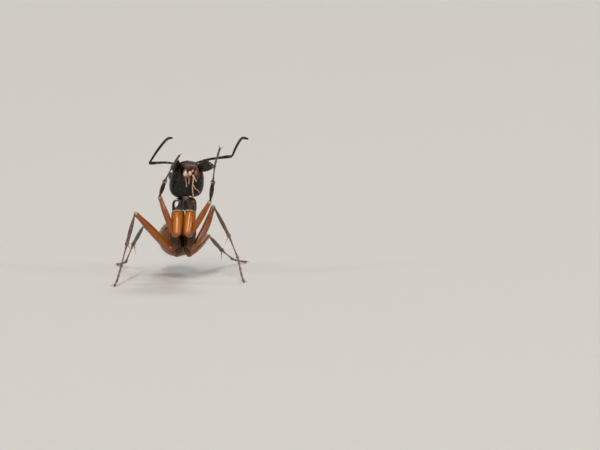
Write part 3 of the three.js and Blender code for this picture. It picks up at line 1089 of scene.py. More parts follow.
def jaw_grid(out):
    """A jaw between two edges: the outer one bows from hinge to tip, and the inner one runs out to
    a corner and back to the tip with saw teeth. Across it is a lens, thicker to the outside, and it
    curls inwards towards its teeth."""
    rows, sides = 190, 48
    s = np.linspace(0.004, 0.996, rows)[:, None]
    turn = (np.arange(sides) / sides * TAU)[None]
    outer = (1 - s) ** 2 * (-0.12, -0.2) + 2 * s * (1 - s) * (0.43, -0.36) + s**2 * (JAW_LENGTH, 0.02)
    corner = np.array((0.42 * JAW_LENGTH, JAW_WIDTH - 0.2))
    root, tip = np.array((-0.14, 0.2)), np.array((JAW_LENGTH, 0.02))
    base, edge = np.clip(s / 0.4, 0, 1), np.clip((s - 0.4) / 0.6, 0, 1)
    inner = root + (corner - root) * base + (tip - corner) * edge
    inner += np.array((0, -0.05)) * np.sin(np.pi * base) * (edge == 0)
    phase = edge * JAW_TEETH % 1
    saw = TOOTH * phase**1.6 * (edge > 0) * (1 + 0.7 * (edge > 1 - 1 / JAW_TEETH))
    square_out = unit((tip - corner)[::-1] * (-1, 1))
    outwards = np.sign(square_out @ (corner - root))
    inner += saw * (square_out - 0.5 * unit(tip - corner)) * outwards
    across = (1 - np.cos(turn)) / 2  # 0 at the outer edge and 1 at the inner one
    flat = outer[:, None] + (inner - outer)[:, None] * across[..., None]
    closing = np.clip(np.sin(np.pi * np.clip(s * 6, 0, 0.5)), 0, 1) * np.clip((1 - s) * 9, 0, 1) ** 0.5
    thick = JAW_THICKNESS * 0.47 * closing * np.sin(turn) * (1 - 0.6 * across) * (1 - 0.35 * s)
    curl = -0.07 * across**2 + 0.04
    groove = 0.012 * np.sin(turn) * (ridge(across - 0.35, 0.06) + ridge(across - 0.6, 0.05))
    local = np.concatenate([flat, (thick - groove * closing + curl * closing)[..., None]], -1)
    hinge = (JAW_HINGE[0] * out, *JAW_HINGE[1:])
    return hinge + local @ jaw_axes(out), across * np.ones_like(s)


class ANT_OT_mandibles(bpy.types.Operator):
    """Makes both toothed jaws, each with the knob it turns on"""

    bl_idname = "ant.mandibles"
    bl_label = "Mandibles"

    def execute(self, context):
        for side, out in SIDES.items():
            grid, across = jaw_grid(out)
            SKINS["mandible_" + side] = HEAD.place(grid)
            tone = 1.92 * np.clip(across - 0.75, 0, 1)
            knob = ball(HEAD, (0.62 * out, -0.27, 1.9), (0.34, 0.34, 0.3))
            parts = [sleeve(SKINS["mandible_" + side], tone), sleeve(knob)]
            make_piece("jaw_blade_" + side, parts, jaw_chitin(), ["mandible_" + side])
        return {"FINISHED"}


def lip_bend(x, y, z):
    """A flap with a notch in the middle of its free edge."""
    return x, y + 0.25 * ridge(x, 0.25) * (y < 0), z + 0.35 * y * y


# The tongue and the soft lobes beside it, in the head's axes: middle, size, depth of the folds, and
# how far each has browned.
SOFT_LOBES = (
    ((-0.37, -0.72, 1.82), (0.21, 0.2, 0.3), 0.003, 0.0),
    ((-0.09, -0.72, 1.84), (0.2, 0.2, 0.3), 0.003, 0.06),
    ((-0.23, -0.68, 1.7), (0.34, 0.16, 0.24), 0.005, 0.75),
    ((-0.36, -0.7, 1.99), (0.12, 0.12, 0.12), 0.003, 0.5),
    ((0.05, -0.72, 1.98), (0.1, 0.1, 0.16), 0.003, 0.35),
    ((0.25, -0.72, 1.86), (0.15, 0.18, 0.36), 0.005, 1.0),
    ((0.1, -0.74, 1.68), (0.12, 0.12, 0.16), 0.002, 0.2),
)


class ANT_OT_mouthparts(bpy.types.Operator):
    """Makes the upper lip, the paired maxillae and the lower lip with its tongue"""

    bl_idname = "ant.mouthparts"
    bl_label = "Mouthparts"

    def execute(self, context):
        lip = ball(HEAD, (0, -0.32, 2.08), (0.92, 0.4, 0.17), 40, 60, square=0.75, bend=lip_bend)
        brim = ball(HEAD, (0, -0.08, 2.12), (1.0, 0.26, 0.15), 30, 60, square=0.7)
        parts = [sleeve(lip, 0.2), sleeve(brim, 0.6)]
        make_piece("upper_lip", parts, lip_chitin(), ["mouthparts"])
        plates, lobes = [], []
        for out in SIDES.values():
            middle = (0.37 * out - 0.01, -0.6, 1.72)
            stipes = body_grid((0.21, 0.22, 0.78), middle, straight, 70, 40, blunt=0.8, square=0.7)
            x, y, z = np.moveaxis(stipes, -1, 0)
            stipes = relieved(stipes, -0.015 * ridge(z - 1.93, 0.04) - 0.02 * ridge(z - 1.45, 0.03))
            blotch = 0.25 * np.sin(21 * z + 12 * x) + 0.2 * np.sin(13 * z - 29 * x + 1)
            tone = np.clip(0.5 - 0.15 * out + blotch, 0, 1)
            middle = (0.19 * out, -0.58, 1.98)
            galea = ball(HEAD, middle, (0.26, 0.16, 0.34), 40, 36, blunt=0.8, square=0.8)
            plates += [sleeve(HEAD.place(stipes), tone), sleeve(galea, 0.8)]
        chin = ball(HEAD, (0.02, -0.6, 1.52), (0.34, 0.16, 0.5), 40, 32, blunt=0.7, square=0.7)
        bed = ball(HEAD, (0, -0.5, 1.78), (0.9, 0.3, 0.86), 40, 60, blunt=0.8, square=0.8)
        plates += [sleeve(chin, 0.8), sleeve(bed, 1.0)]
        make_piece("maxillae_and_chin", plates, mouth_chitin())
        for centre, size, folds, tone in SOFT_LOBES:
            grid = body_grid(size, centre, straight, 60, 44, blunt=0.9)
            x, y, z = np.moveaxis(grid, -1, 0)
            wrinkle = np.sin(z * 62 + 19 * x) * 0.5 + np.sin(z * 41 - 43 * x + 2) * 0.5
            lump = np.cos(31 * x - 13 * z) * np.cos(23 * z + 17 * y + 3)
            grid = relieved(grid, folds * wrinkle + 0.05 * size[0] * lump)
            lobes.append(sleeve(HEAD.place(grid), tone))
        make_piece("tongue_and_lobes", lobes, tongue_skin())
        return {"FINISHED"}


# Each palp's line in the head's axes, its joints, how thick it is beside the others, and how far it
# has browned.
PALPS = {
    "left": (
        (
            ((0.16, -0.74, 1.68), (0.1, -0.84, 1.36), (0.11, -0.86, 0.91), (0.22, -0.84, 0.42)),
            6, 1.0, 0.35,
        ),
        (((0.13, -0.8, 1.62), (0.22, -0.84, 1.5), (0.33, -0.82, 1.34)), 3, 0.85, 0.1),
        (
            ((0.14, -0.82, 1.15), (0.27, -0.84, 0.94), (0.46, -0.8, 0.78), (0.58, -0.74, 0.6)),
            4, 0.65, 0.2,
        ),
    ),
    "right": (
        (((-0.36, -0.74, 1.76), (-0.32, -0.83, 1.42), (-0.25, -0.84, 1.04)), 5, 1.05, 1.0),
        (((-0.17, -0.76, 1.76), (-0.14, -0.83, 1.45), (-0.13, -0.83, 1.2)), 4, 1.1, 0.95),
    ),
}


def jointed(share, joints, depth):
    """A factor of a limb's half width that pinches it at each of its joints and swells it towards
    the far end of each stretch."""
    phase = share * joints % 1
    pinch = np.where(share * joints > 0.3, ridge(phase, 0.1), 0) + ridge(phase - 1, 0.06)
    return (0.9 + 0.15 * phase) * (1 - depth * np.clip(pinch, 0, 1))


class ANT_OT_palps(bpy.types.Operator):
    """Makes the jointed palps"""

    bl_idname = "ant.palps"
    bl_label = "Palps"

    def execute(self, context):
        half = settings().limbs.palp / MM
        for side, palps in PALPS.items():
            parts = []
            for line, joints, scale, brown in palps:
                path = HEAD.place(route(line))

                def radius(s):
                    return half * scale * (1 - 0.35 * s) * jointed(s, joints, 0.3)

                grid, s = limb_grid(path, radius, HEAD.turn[0], rows=90, sides=14, caps=(0.03, 0.04))
                parts.append(sleeve(grid, brown * (1 - s**3)))
            make_piece("palps_" + side, parts, palp_skin(), ["palp_" + side])
        return {"FINISHED"}


# ---- Antennae ------------------------------------------------------------------------------------

FLAGELLUM_JOINTS = 11

# How the half width goes along a limb: stations of the share of its length and the factor there.
SCAPE_PROFILE = (
    (0, 0.9), (0.025, 1.05), (0.055, 0.6), (0.12, 0.68), (0.7, 0.88), (0.93, 1.05), (1, 0.85),
)
LASH_PROFILE = ((0, 0.72), (0.08, 0.8), (0.7, 1.0), (0.92, 0.92), (1, 0.6))


class ANT_OT_antennae(bpy.types.Operator):
    """Makes both antennae: a long scape from its socket's ball, and a lash of eleven joints"""

    bl_idname = "ant.antennae"
    bl_label = "Antennae"

    def execute(self, context):
        limbs = settings().limbs
        scape, lash = limbs.scape / MM, limbs.flagellum / MM

        def scape_radius(s):
            return scape * smooth(s, *SCAPE_PROFILE)

        def lash_radius(s):
            return lash * smooth(s, *LASH_PROFILE) * jointed(s, FLAGELLUM_JOINTS, 0.3)

        for side in SIDES:
            joints = antenna_joints(side)
            bow = np.array([0, 0, 0.09])
            reach = joints[1] - joints[0]
            root = joints[0] - HEAD.turn[1] * 0.03
            start, middle = joints[0] + reach * 0.12 + bow * 0.4, joints[0] + reach * 0.45 + bow
            path = route([root, start, middle, joints[1]])
            across = unit(np.cross(reach, joints[2] - joints[1]))
            grid, s = limb_grid(path, scape_radius, across, rows=90, sides=24, caps=(0.03, 0.02))
            SKINS["scape_" + side] = grid
            part = sleeve(grid, 0.5 * ridge(s - 0.03, 0.03) + 0.25 * step(s - 0.97, 0.02))
            nodes = ["scape_" + side]
            make_piece("scape_skin_" + side, [part], black_chitin(), nodes)
            path = route(joints[1:])
            grid, s = limb_grid(path, lash_radius, across, rows=220, sides=20, caps=(0.02, 0.03))
            SKINS["flagellum_" + side] = grid
            part = sleeve(grid, 0.35 * ridge(s * FLAGELLUM_JOINTS % 1 - 1, 0.2))
            nodes = ["flagellum_" + side]
            make_piece("lash_" + side, [part], black_chitin(), nodes)
        return {"FINISHED"}


# ---- Trunk ---------------------------------------------------------------------------------------


def trunk_bend(x, y, z):
    """An arched back and a narrower rear."""
    x = x * (0.82 + 0.2 * z)
    y = y * (1 - 0.1 * z) + 0.16 * (1 - z * z)
    return x, y, z


TRUNK_CENTRE = (0, 0.08, -0.12 - TRUNK_SIZE[2] / 2)
PROPLEURAE_PLACE = (0, -0.3, -0.5)
PROPLEURAE_SIZE = (1.54, 0.78, 1.1)
PROPLEURAE_FLAT = (-0.571, -0.527, 0.63)  # the way that their flat faces, in the trunk's axes


def propleurae_bend(x, y, z):
    """Undersides that slope up to the neck, and a left side that is drawn in."""
    slope = 0.53 * np.clip(z + 0.1, 0, 1)
    return np.where(x > 0.55, 0.55 + 0.7 * (x - 0.55), x), y * (1 - slope) + slope, z


def pressed(grid, way, depth, softness=0.008):
    """A grid pressed nearly flat where it stands out furthest in one direction. What stands above
    a level that far below the top is taken off, and the edge is eased by a logarithm."""
    way = np.array(unit(way))
    reach = grid @ way
    over = softness * np.logaddexp(0, (reach - reach.max() + depth) / softness)
    return grid - 0.97 * over[..., None] * way


def trunk_polar(cut, sides):
    """The polar angle, for each column, at which the trunk's skin meets a cut that slants back
    towards the belly: worked out by stepping towards it."""
    turn_at, _ = pacing(0.85, TRUNK_SIZE[1] / 2, TRUNK_SIZE[0] / 2, TAU)
    up, _ = superellipse(turn_at(np.arange(sides) / sides), 0.85)
    half = TRUNK_SIZE[2] / 2
    along = np.zeros(sides)
    for _ in range(12):
        out = (1 - np.abs(along) ** (2 / 0.72)) ** 0.36
        y = (up * out * (1 - 0.1 * along) + 0.16 * (1 - along**2)) * TRUNK_SIZE[1] / 2
        y = y + TRUNK_CENTRE[1]
        along = np.clip((cut - 0.25 * y - TRUNK_CENTRE[2]) / half, -0.98, 0.98)
    return np.arccos(np.sign(along) * np.abs(along) ** (1 / 0.72))


def rolled(grid, front, rear, depth=0.05):
    """A plate's grid whose open edges turn in: at each end that is asked for, rows are added that
    come round a small lip and then run in to the axis."""
    q = np.linspace(0, np.pi, 7)[1:, None, None]

    def lip(end, inner):
        middle = end.mean(0)
        turned = end + unit(end - inner) * np.sin(q) * depth / 2
        turned = turned + unit(middle - end) * (1 - np.cos(q)) * depth / 2
        closing = turned[-1] + (middle - turned[-1]) * np.linspace(0, 0.9, 6)[1:, None, None]
        return np.concatenate([turned, closing])

    rows = [lip(grid[0], grid[1])[::-1]] if front else []
    rows.append(grid)
    if rear:
        rows.append(lip(grid[-1], grid[-2]))
    return np.concatenate(rows)


def trunk_plate(name, first, last):
    """One of the trunk's three plates, between two cuts: first or last is None at an end."""
    sides = 160
    begin = np.full(sides, 0.004) if first is None else trunk_polar(first, sides)
    end = np.full(sides, np.pi - 0.004) if last is None else trunk_polar(last, sides)
    size = np.array(TRUNK_SIZE) * SKIN_DEPTH
    grid = body_grid(
        size, TRUNK_CENTRE, trunk_bend, 70, sides, blunt=0.72, square=0.85, between=(begin, end)
    )
    x, y, z = np.moveaxis(grid, -1, 0)
    return relieved(grid, trunk_relief(name, x, y, z))


def trunk_relief(name, x, y, z):
    """How far a plate of the trunk stands out. The pronotum has a collar, and the middle plate a
    seam along each flank with a breathing hole. The rear plate has a ridge where its back drops to
    its rear face, and a slit of a breathing hole on each side."""
    out = np.abs(x)
    if name == "pronotum":
        collar = -0.03 * ridge(z + 0.4, 0.06)
        return collar - 0.02 * ridge(y + 0.12, 0.04) * step(-z - 0.5, 0.05)
    if name == "mesothorax":
        seam = -0.03 * ridge(y - 0.05 - 0.15 * (z + 1.6), 0.035)
        hump = -0.04 * ridge(z + 1.86, 0.05) * step(y - 0.2, 0.06)
        hole = np.hypot((y - 0.3) / 0.06, (z + 1.92) / 0.09)
        return seam + hump + 0.02 * ridge(hole - 1, 0.5) - 0.04 * ridge(hole, 0.7)
    seam = -0.025 * ridge(y + 0.08 - 0.1 * (z + 2.5), 0.035) * step(z + 2.95, 0.05)
    hole = np.hypot((y - 0.22) / 0.05, (z + 2.62) / 0.11)
    drop = 0.02 * ridge(z + 2.72, 0.12) * step(y - 0.25, 0.1)
    return seam + drop + (0.03 * ridge(hole - 1, 0.5) - 0.05 * ridge(hole, 0.7)) * (out > 0.2)


TRUNK_PLATES = {
    "pronotum": (None, PLATE_CUTS[0] + 0.02),
    "mesothorax": (PLATE_CUTS[0] - 0.02, PLATE_CUTS[1] + 0.02),
    "propodeum": (PLATE_CUTS[1] - 0.02, None),
}


class ANT_OT_trunk(bpy.types.Operator):
    """Makes the trunk's three plates and the pair below the first"""

    bl_idname = "ant.trunk"
    bl_label = "Trunk"

    def execute(self, context):
        for name, (first, last) in TRUNK_PLATES.items():
            grid = TRUNK.place(trunk_plate(name, first, last))
            SKINS[name] = grid
            lipped = rolled(grid, first is not None, last is not None)
            v = np.linspace(0, 1, len(lipped))[:, None] * np.ones(lipped.shape[1])
            dark = name == "pronotum"
            material = trunk_chitin() if dark else rust_chitin()
            tone = 0.35 * step(v - 0.85, 0.04) if dark else 0.5 * (1 - step(v - 0.12, 0.05))
            make_piece(name + "_plate", [sleeve(lipped, tone)], material, [name])
        self.make_propleurae()
        return {"FINISHED"}

    def make_propleurae(self):
        """The two polished plates below the neck, which meet along a groove, and the small plate
        between the fore coxae. The right one has a flat, which mirrors the light on that side."""
        size = np.array(PROPLEURAE_SIZE) * SKIN_DEPTH
        grid = body_grid(size, PROPLEURAE_PLACE, propleurae_bend, 120, 160, blunt=0.62)
        x, y, z = np.moveaxis(grid, -1, 0)
        below = step(-y - 0.2, 0.06)
        groove = -0.1 * ridge(x, 0.07) * below
        swell = 0.03 * ridge(np.abs(x) - 0.4, 0.24) * below
        grid = TRUNK.place(pressed(relieved(grid, groove + swell), PROPLEURAE_FLAT, 0.08))
        SKINS["propleurae"] = grid
        tone = 0.5 * ridge(z + 1.0, 0.12) + 0.25 * step(x - 0.1, 0.3)
        keel = ball(TRUNK, (-0.04, -0.5, -1.0), (0.16, 0.22, 0.3))
        parts = [sleeve(grid, tone), sleeve(keel, 0.6)]
        make_piece("propleural_plates", parts, trunk_chitin(), ["propleurae"])


class ANT_OT_membranes(bpy.types.Operator):
    """Makes the soft skin of the neck and round the roots of the fore coxae"""

    bl_idname = "ant.membranes"
    bl_label = "Membranes"

    def execute(self, context):
        ends = [TRUNK.place((0, 0.1, -0.25)), TRUNK.place((0, -0.04, 0.02))]
        ends.append(HEAD.place((0, -0.14, 0.3)))

        def neck_radius(s):
            return 0.23 * (1 - 0.15 * np.sin(np.pi * s)) * (1 + 0.04 * np.cos(TAU * 5 * s))

        grid, s = limb_grid(route(ends), neck_radius, TRUNK.turn[0], rows=60, sides=32)
        make_piece("neck_skin", [sleeve(grid, 0.55)], membrane_skin(), ["neck"])
        parts = []

        def skin_radius(s):
            return 0.03 * (0.5 + 0.5 * np.sin(np.pi * s)) * (1 + 0.25 * np.sin(31 * s))

        for side in SIDES:
            joints = leg_joints("fore", side)
            down = unit(joints[1] - joints[0])
            front = unit(TRUNK.turn[2] - down * (TRUNK.turn[2] @ down))
            across = np.cross(down, front)
            a = np.radians(np.linspace(-80, 80, 24))[:, None]
            arc = joints[0] + down * 0.14 + (front * np.cos(a) + across * np.sin(a)) * 0.34
            grid, s = limb_grid(arc, skin_radius, down, flat=0.7, rows=70, sides=14, caps=(0.06, 0.06))
            parts.append(sleeve(grid, 0.35 + 0.25 * np.cos(23 * s)))
        middle = (leg_joints("fore", "left")[0] + leg_joints("fore", "right")[0]) / 2
        stem = ((0, -0.26, 0.22), (0, -0.34, 0.08), (0, -0.36, -0.04), (0, -0.3, -0.2))
        path = route(middle + TRUNK.direct(stem))
        grid, s = limb_grid(
            path, lambda s: 0.055 * (1 - 0.5 * s), TRUNK.turn[0], sides=16, caps=(0.15, 0.15)
        )
        parts.append(sleeve(grid, 0.2))
        fold = middle + TRUNK.direct([(-0.16, -0.2, 0.2), (0, -0.29, 0.2), (0.16, -0.2, 0.2)])
        grid, s = limb_grid(route(fold), skin_radius, TRUNK.turn[1], rows=30, sides=12, caps=(0.1, 0.1))
        parts.append(sleeve(grid, 0.25))
        make_piece("coxal_membranes", parts, membrane_skin())
        return {"FINISHED"}


# ---- Petiole and gaster --------------------------------------------------------------------------


def scale_bend(x, y, z):
    """A scale that thins upwards to a sharp edge with a shallow notch."""
    rise = np.clip(y, 0, 1)
    notched = y * (1 - 0.08 * ridge(x, 0.3) * (y > 0))
    return x * (1 - 0.2 * rise**3), notched, z * (1 - 0.55 * rise) - 0.12 * rise


class ANT_OT_petiole(bpy.types.Operator):
    """Makes the petiole: a stalk with an upright scale"""

    bl_idname = "ant.petiole"
    bl_label = "Petiole"

    def execute(self, context):
        stalk = ball(PETIOLE, (0, 0, -0.3), (0.54, 0.5, 0.92), 50, 48, blunt=0.6)
        scale = ball(PETIOLE, (0, 0.22, -0.3), (0.76, 1.07, 0.4), 60, 64, square=0.9, bend=scale_bend)
        SKINS["petiole"] = scale
        parts = [sleeve(stalk, 0.35), sleeve(scale, 0.15)]
        make_piece("petiole_scale", parts, rust_chitin(), ["petiole"])
        return {"FINISHED"}


def gaster_bend(x, y, z):
    """Fullest ahead of its middle, drawn out to a blunt point."""
    swell = 1 + 0.08 * z - 0.06 * z * z
    return x * swell, y * swell - 0.06 * (1 - z * z), z


def gaster_polar(place):
    """The polar angle of the gaster's skin at a distance behind its front."""
    along = 1 - 2 * place / GASTER_SIZE[2]
    return np.arccos(np.sign(along) * np.abs(along) ** (1 / 0.88))


def ring_grid(front, rear):
    """One ring of the gaster, between two distances behind its front: its rear edge flares a
    little over the next, and a seam on each flank parts the plate above from the one below."""
    sides = 160
    begin = 0.004 if front is None else gaster_polar(front)
    end = np.pi - 0.03 if rear is None else gaster_polar(rear)
    size = np.array(GASTER_SIZE) * SKIN_DEPTH
    centre = (0, 0, -GASTER_SIZE[2] / 2)
    grid = body_grid(
        size, centre, gaster_bend, 64, sides, blunt=0.88,
        between=(np.full(sides, begin), np.full(sides, end)),
    )
    v = np.linspace(0, 1, 64)[:, None]
    x, y = grid[..., 0], grid[..., 1]
    middle = -0.06 * GASTER_SIZE[1] / 2
    flank = ridge((y - middle + 0.3) / np.maximum(np.abs(x), 0.2), 0.06)
    tuck = -0.035 * (1 - step(v - 0.1, 0.05)) * (front is not None)
    flare = 0.012 * step(v - 0.8, 0.08) * (rear is not None)
    return relieved(grid, tuck + flare - 0.025 * flank)


class ANT_OT_gaster(bpy.types.Operator):
    """Makes the gaster's five rings"""

    bl_idname = "ant.gaster"
    bl_label = "Gaster"

    def execute(self, context):
        cuts = [None, *GASTER_CUTS, None]
        for i, (front, rear) in enumerate(zip(cuts, cuts[1:])):
            grid = GASTER.place(ring_grid(front, rear))
            SKINS["gaster_" + str(i + 1)] = grid
            lipped = rolled(grid, front is not None, rear is not None, 0.04)
            v = np.linspace(0, 1, len(lipped))[:, None] * np.ones(lipped.shape[1])
            first = i == 0
            # Painted shade: the front ring's base tone of 0.3 darkens its orange all over, and its rear
            # rim turns brown.
            tone = 0.3 + 0.7 * step(v - 0.72, 0.06) if first else 0.3 * ridge(v - 0.83, 0.035)
            if i == 1:
                tone = tone + 0.75 * (1 - step(v - 0.4, 0.12))
            material = gaster_chitin() if first else dark_gaster_chitin()
            number, part = str(i + 1), sleeve(lipped, tone)
            make_piece("gaster_ring_" + number, [part], material, ["gaster_" + number])
        return {"FINISHED"}


# ---- Legs ----------------------------------------------------------------------------------------

TARSUS_JOINTS = 4
FEMUR_SHARE = {"fore": 0.75, "middle": 0.9, "hind": 0.88}  # of the femur's setting


def stretched(path_from, path_to, before, after):
    """A straight path that starts `before` ahead of one point and ends `after` past another."""
    ahead = unit(path_to - path_from)
    return np.array([path_from - ahead * before, path_to + ahead * after])


def leg_plane(joints):
    """The direction square to the plane in which a leg's knee bends."""
    return unit(np.cross(joints[3] - joints[2], joints[4] - joints[3]))


def shin_chitin(pair):
    """The shell of a leg's tibia and tarsus."""
    return dark_shin_chitin() if pair == "fore" else plum_chitin()


def toe_path(joints, stands):
    """The last stretch of a tarsus: it droops to the floor where the leg stands on it."""
    start, toe = joints[5], joints[6].copy()
    if not stands:
        return route([start, start * 0.5 + toe * 0.5, toe])
    toe[2] = 0.09
    low = start * 0.35 + toe * 0.65
    low[2] = min(low[2], 0.6 * low[2] + 0.05)
    return route([start, low, toe])


# How the half width goes along each part of a leg: stations of the share of its length and the
# factor there.
COXA_PROFILE = ((0, 0.74), (0.1, 0.9), (0.3, 1.0), (0.5, 0.95), (0.75, 0.75), (0.92, 0.61), (1, 0.48))
TROCHANTER_PROFILE = ((0, 0.8), (0.35, 1.08), (0.75, 1.0), (1, 0.85))
FEMUR_PROFILE = (
    (0, 0.5), (0.06, 0.64), (0.2, 0.88), (0.4, 1.0), (0.65, 0.92), (0.86, 0.7), (0.95, 0.68), (1, 0.55),
)
TIBIA_PROFILE = (
    (0, 0.55), (0.04, 0.62), (0.09, 0.5), (0.3, 0.8), (0.55, 1.0), (0.93, 0.95), (0.98, 1.08), (1, 0.9),
)
CLAW_HALF = 0.026  # half width of a claw at its root
BASITARSUS_PROFILE = ((0, 0.8), (0.04, 0.95), (0.1, 0.85), (0.9, 0.85), (0.97, 1.05), (1, 0.8))


class ANT_OT_legs(bpy.types.Operator):
    """Makes the six legs, each from coxa to claws"""

    bl_idname = "ant.legs"
    bl_label = "Legs"

    def execute(self, context):
        for pair in PAIRS:
            for side in SIDES:
                joints = leg_joints(pair, side)
                self.make_coxa(pair, side, joints)
                self.make_thigh(pair, side, joints)
                self.make_shin(pair, side, joints)
                self.make_foot(pair, side, joints)
        return {"FINISHED"}

    def make_coxa(self, pair, side, joints):
        """A full cone, ringed by a seam near its root, with a lobed rim where it takes the
        trochanter. A fore coxa has painted light and shade: amber where it faces the front, browner
        at its sides, and browner at its ends. A middle or hind coxa is drawn dark brown as painted
        shade."""
        half = settings().limbs.coxa / MM * (1.0 if pair == "fore" else 0.9)

        def radius(s):
            return half * smooth(s, *COXA_PROFILE)

        def relief(s, turn):
            return 1 - 0.05 * ridge(s - 0.055, 0.018) + 0.04 * ridge(s - 0.95, 0.02)

        plane = leg_plane(joints)
        path = stretched(joints[0], joints[1], 0.06, 0.06)
        grid, s = limb_grid(path, radius, plane, rows=64, sides=48, caps=(0.18, 0.07), relief=relief)
        name = "coxa_%s_%s" % (pair, side)
        SKINS[name] = grid
        if pair == "fore":
            # Painted light and shade: amber where the surface faces the front and browner at the sides.
            # The ends are browner too.
            front_lit = np.clip(-normals(grid)[..., 1], 0, 1)
            ends = 0.4 * step(s - 0.9, 0.05) + 0.4 * (1 - step(s - 0.1, 0.05))
            tone = np.clip(0.95 - 0.95 * front_lit**2 + ends, 0, 1)
            material = orange_chitin()
        else:
            # Painted shade: middle and hind coxae are drawn dark brown, as if in shadow, and more
            # orange at the tip.
            tone = 0.35 * step(s - 0.85, 0.08)
            material = shaded_umber_chitin()
        make_piece(name + "_cone", [sleeve(grid, tone)], material, [name])

    def make_thigh(self, pair, side, joints):
        """The trochanter as a bead, and the femur, which is fullest before its middle, narrow at
        its root and two-lobed at the knee, with a groove below for the shin."""
        limbs = settings().limbs
        bead, half = limbs.trochanter / MM, limbs.femur / MM * FEMUR_SHARE[pair]

        def bead_radius(s):
            return bead * smooth(s, *TROCHANTER_PROFILE)

        def radius(s):
            return half * smooth(s, *FEMUR_PROFILE)

        def relief(s, turn):
            groove = 0.1 * ridge(np.angle(np.exp(1j * (turn + np.pi / 2))), 0.25) * step(s - 0.6, 0.08)
            return 1 - groove - 0.06 * ridge(s - 0.9, 0.015)

        plane = leg_plane(joints)
        path = stretched(joints[1], joints[2], 0.06, 0.08)
        grid, s = limb_grid(path, bead_radius, plane, rows=30, sides=32, caps=(0.25, 0.2))
        parts = [sleeve(grid, 0.0)]
        path = stretched(joints[2], joints[3], 0.04, 0.05)
        if (pair, side) == ("middle", "left"):
            path = route([path[0], path.mean(0) + MIDDLE_LEFT_BOW, path[1]])
        grid, s = limb_grid(path, radius, plane, rows=90, sides=40, caps=(0.03, 0.03), relief=relief)
        name = "femur_%s_%s" % (pair, side)
        SKINS[name] = grid
        # Painted sheen: the knee end of the femur turns pale grey.
        parts.append(sleeve(grid, 0.9 * step(s - 0.945, 0.02)))
        make_piece(name + "_shaft", parts, femur_chitin(), [name])

    def make_shin(self, pair, side, joints):
        """The tibia, slim at the knee and widening to its far end, with a rim there."""
        half = settings().limbs.tibia / MM

        def radius(s):
            return half * smooth(s, *TIBIA_PROFILE)

        plane = leg_plane(joints)
        path = stretched(joints[3], joints[4], 0.03, 0.02)
        grid, s = limb_grid(path, radius, plane, flat=0.8, rows=80, sides=28, caps=(0.03, 0.02))
        name = "tibia_%s_%s" % (pair, side)
        SKINS[name] = grid
        # Painted sheen at the knee end, and a fainter one at the far end.
        tone = 0.5 * ridge(s - 0.03, 0.04) + 0.2 * step(s - 0.95, 0.02)
        make_piece(name + "_shaft", [sleeve(grid, tone)], shin_chitin(pair), [name])
        self.make_spurs(pair, side, joints)

    def make_spurs(self, pair, side, joints):
        """The long spur below the tibia's end and a short one beside it: curved, tapered spines."""
        reach = settings().limbs.spur / MM * (0.6 if pair == "fore" else 1.0)
        ahead = unit(joints[4] - joints[3])
        plane = leg_plane(joints)
        inner = np.cross(plane, ahead)
        inner = inner * np.sign(inner @ (joints[2] - joints[4]))
        parts = []
        for scale, aside in ((1.0, 0.15), (0.4, -0.5)):
            way = unit(ahead * 0.64 + inner * 0.77 + plane * aside * 0.4)
            root = joints[4] + inner * 0.05 - ahead * 0.03
            bend = ahead * 0.1 * reach * scale
            halfway = root + way * reach * scale * 0.5 + bend * 0.6
            path = route([root, halfway, root + way * reach * scale + bend])
            grid, s = limb_grid(
                path, lambda s: 0.036 * (1 - 0.7 * s), plane, rows=30, sides=10, caps=(0.06, 0.02)
            )
            parts.append(sleeve(grid, s))
        make_piece("spurs_%s_%s" % (pair, side), parts, pale_spine())

    def make_foot(self, pair, side, joints):
        """The long first joint of the tarsus, four short flaring ones, and two hooked claws with a
        pad between them."""
        half = settings().limbs.tarsus / MM
        plane = leg_plane(joints)
        path = stretched(joints[4], joints[5], 0.03, 0.02)

        def radius(s):
            return half * smooth(s, *BASITARSUS_PROFILE)

        grid, s = limb_grid(path, radius, plane, rows=70, sides=20, caps=(0.04, 0.02))
        name = "basitarsus_%s_%s" % (pair, side)
        SKINS[name] = grid
        make_piece(name + "_shaft", [sleeve(grid, 0.1)], shin_chitin(pair), [name])

        stands = pair != "fore"
        path = toe_path(joints, stands)

        def toe_radius(s):
            phase = s * TARSUS_JOINTS % 1
            return half * 0.9 * (0.66 + 0.42 * phase**1.5) * (1 - 0.3 * ridge(phase, 0.08))

        grid, s = limb_grid(path, toe_radius, plane, rows=120, sides=18, caps=(0.04, 0.05))
        name = "tarsus_%s_%s" % (pair, side)
        SKINS[name] = grid
        parts = [sleeve(grid, 0.15)]
        parts += self.claws(path, plane, stands)
        make_piece(name + "_joints", parts, shin_chitin(pair), [name])

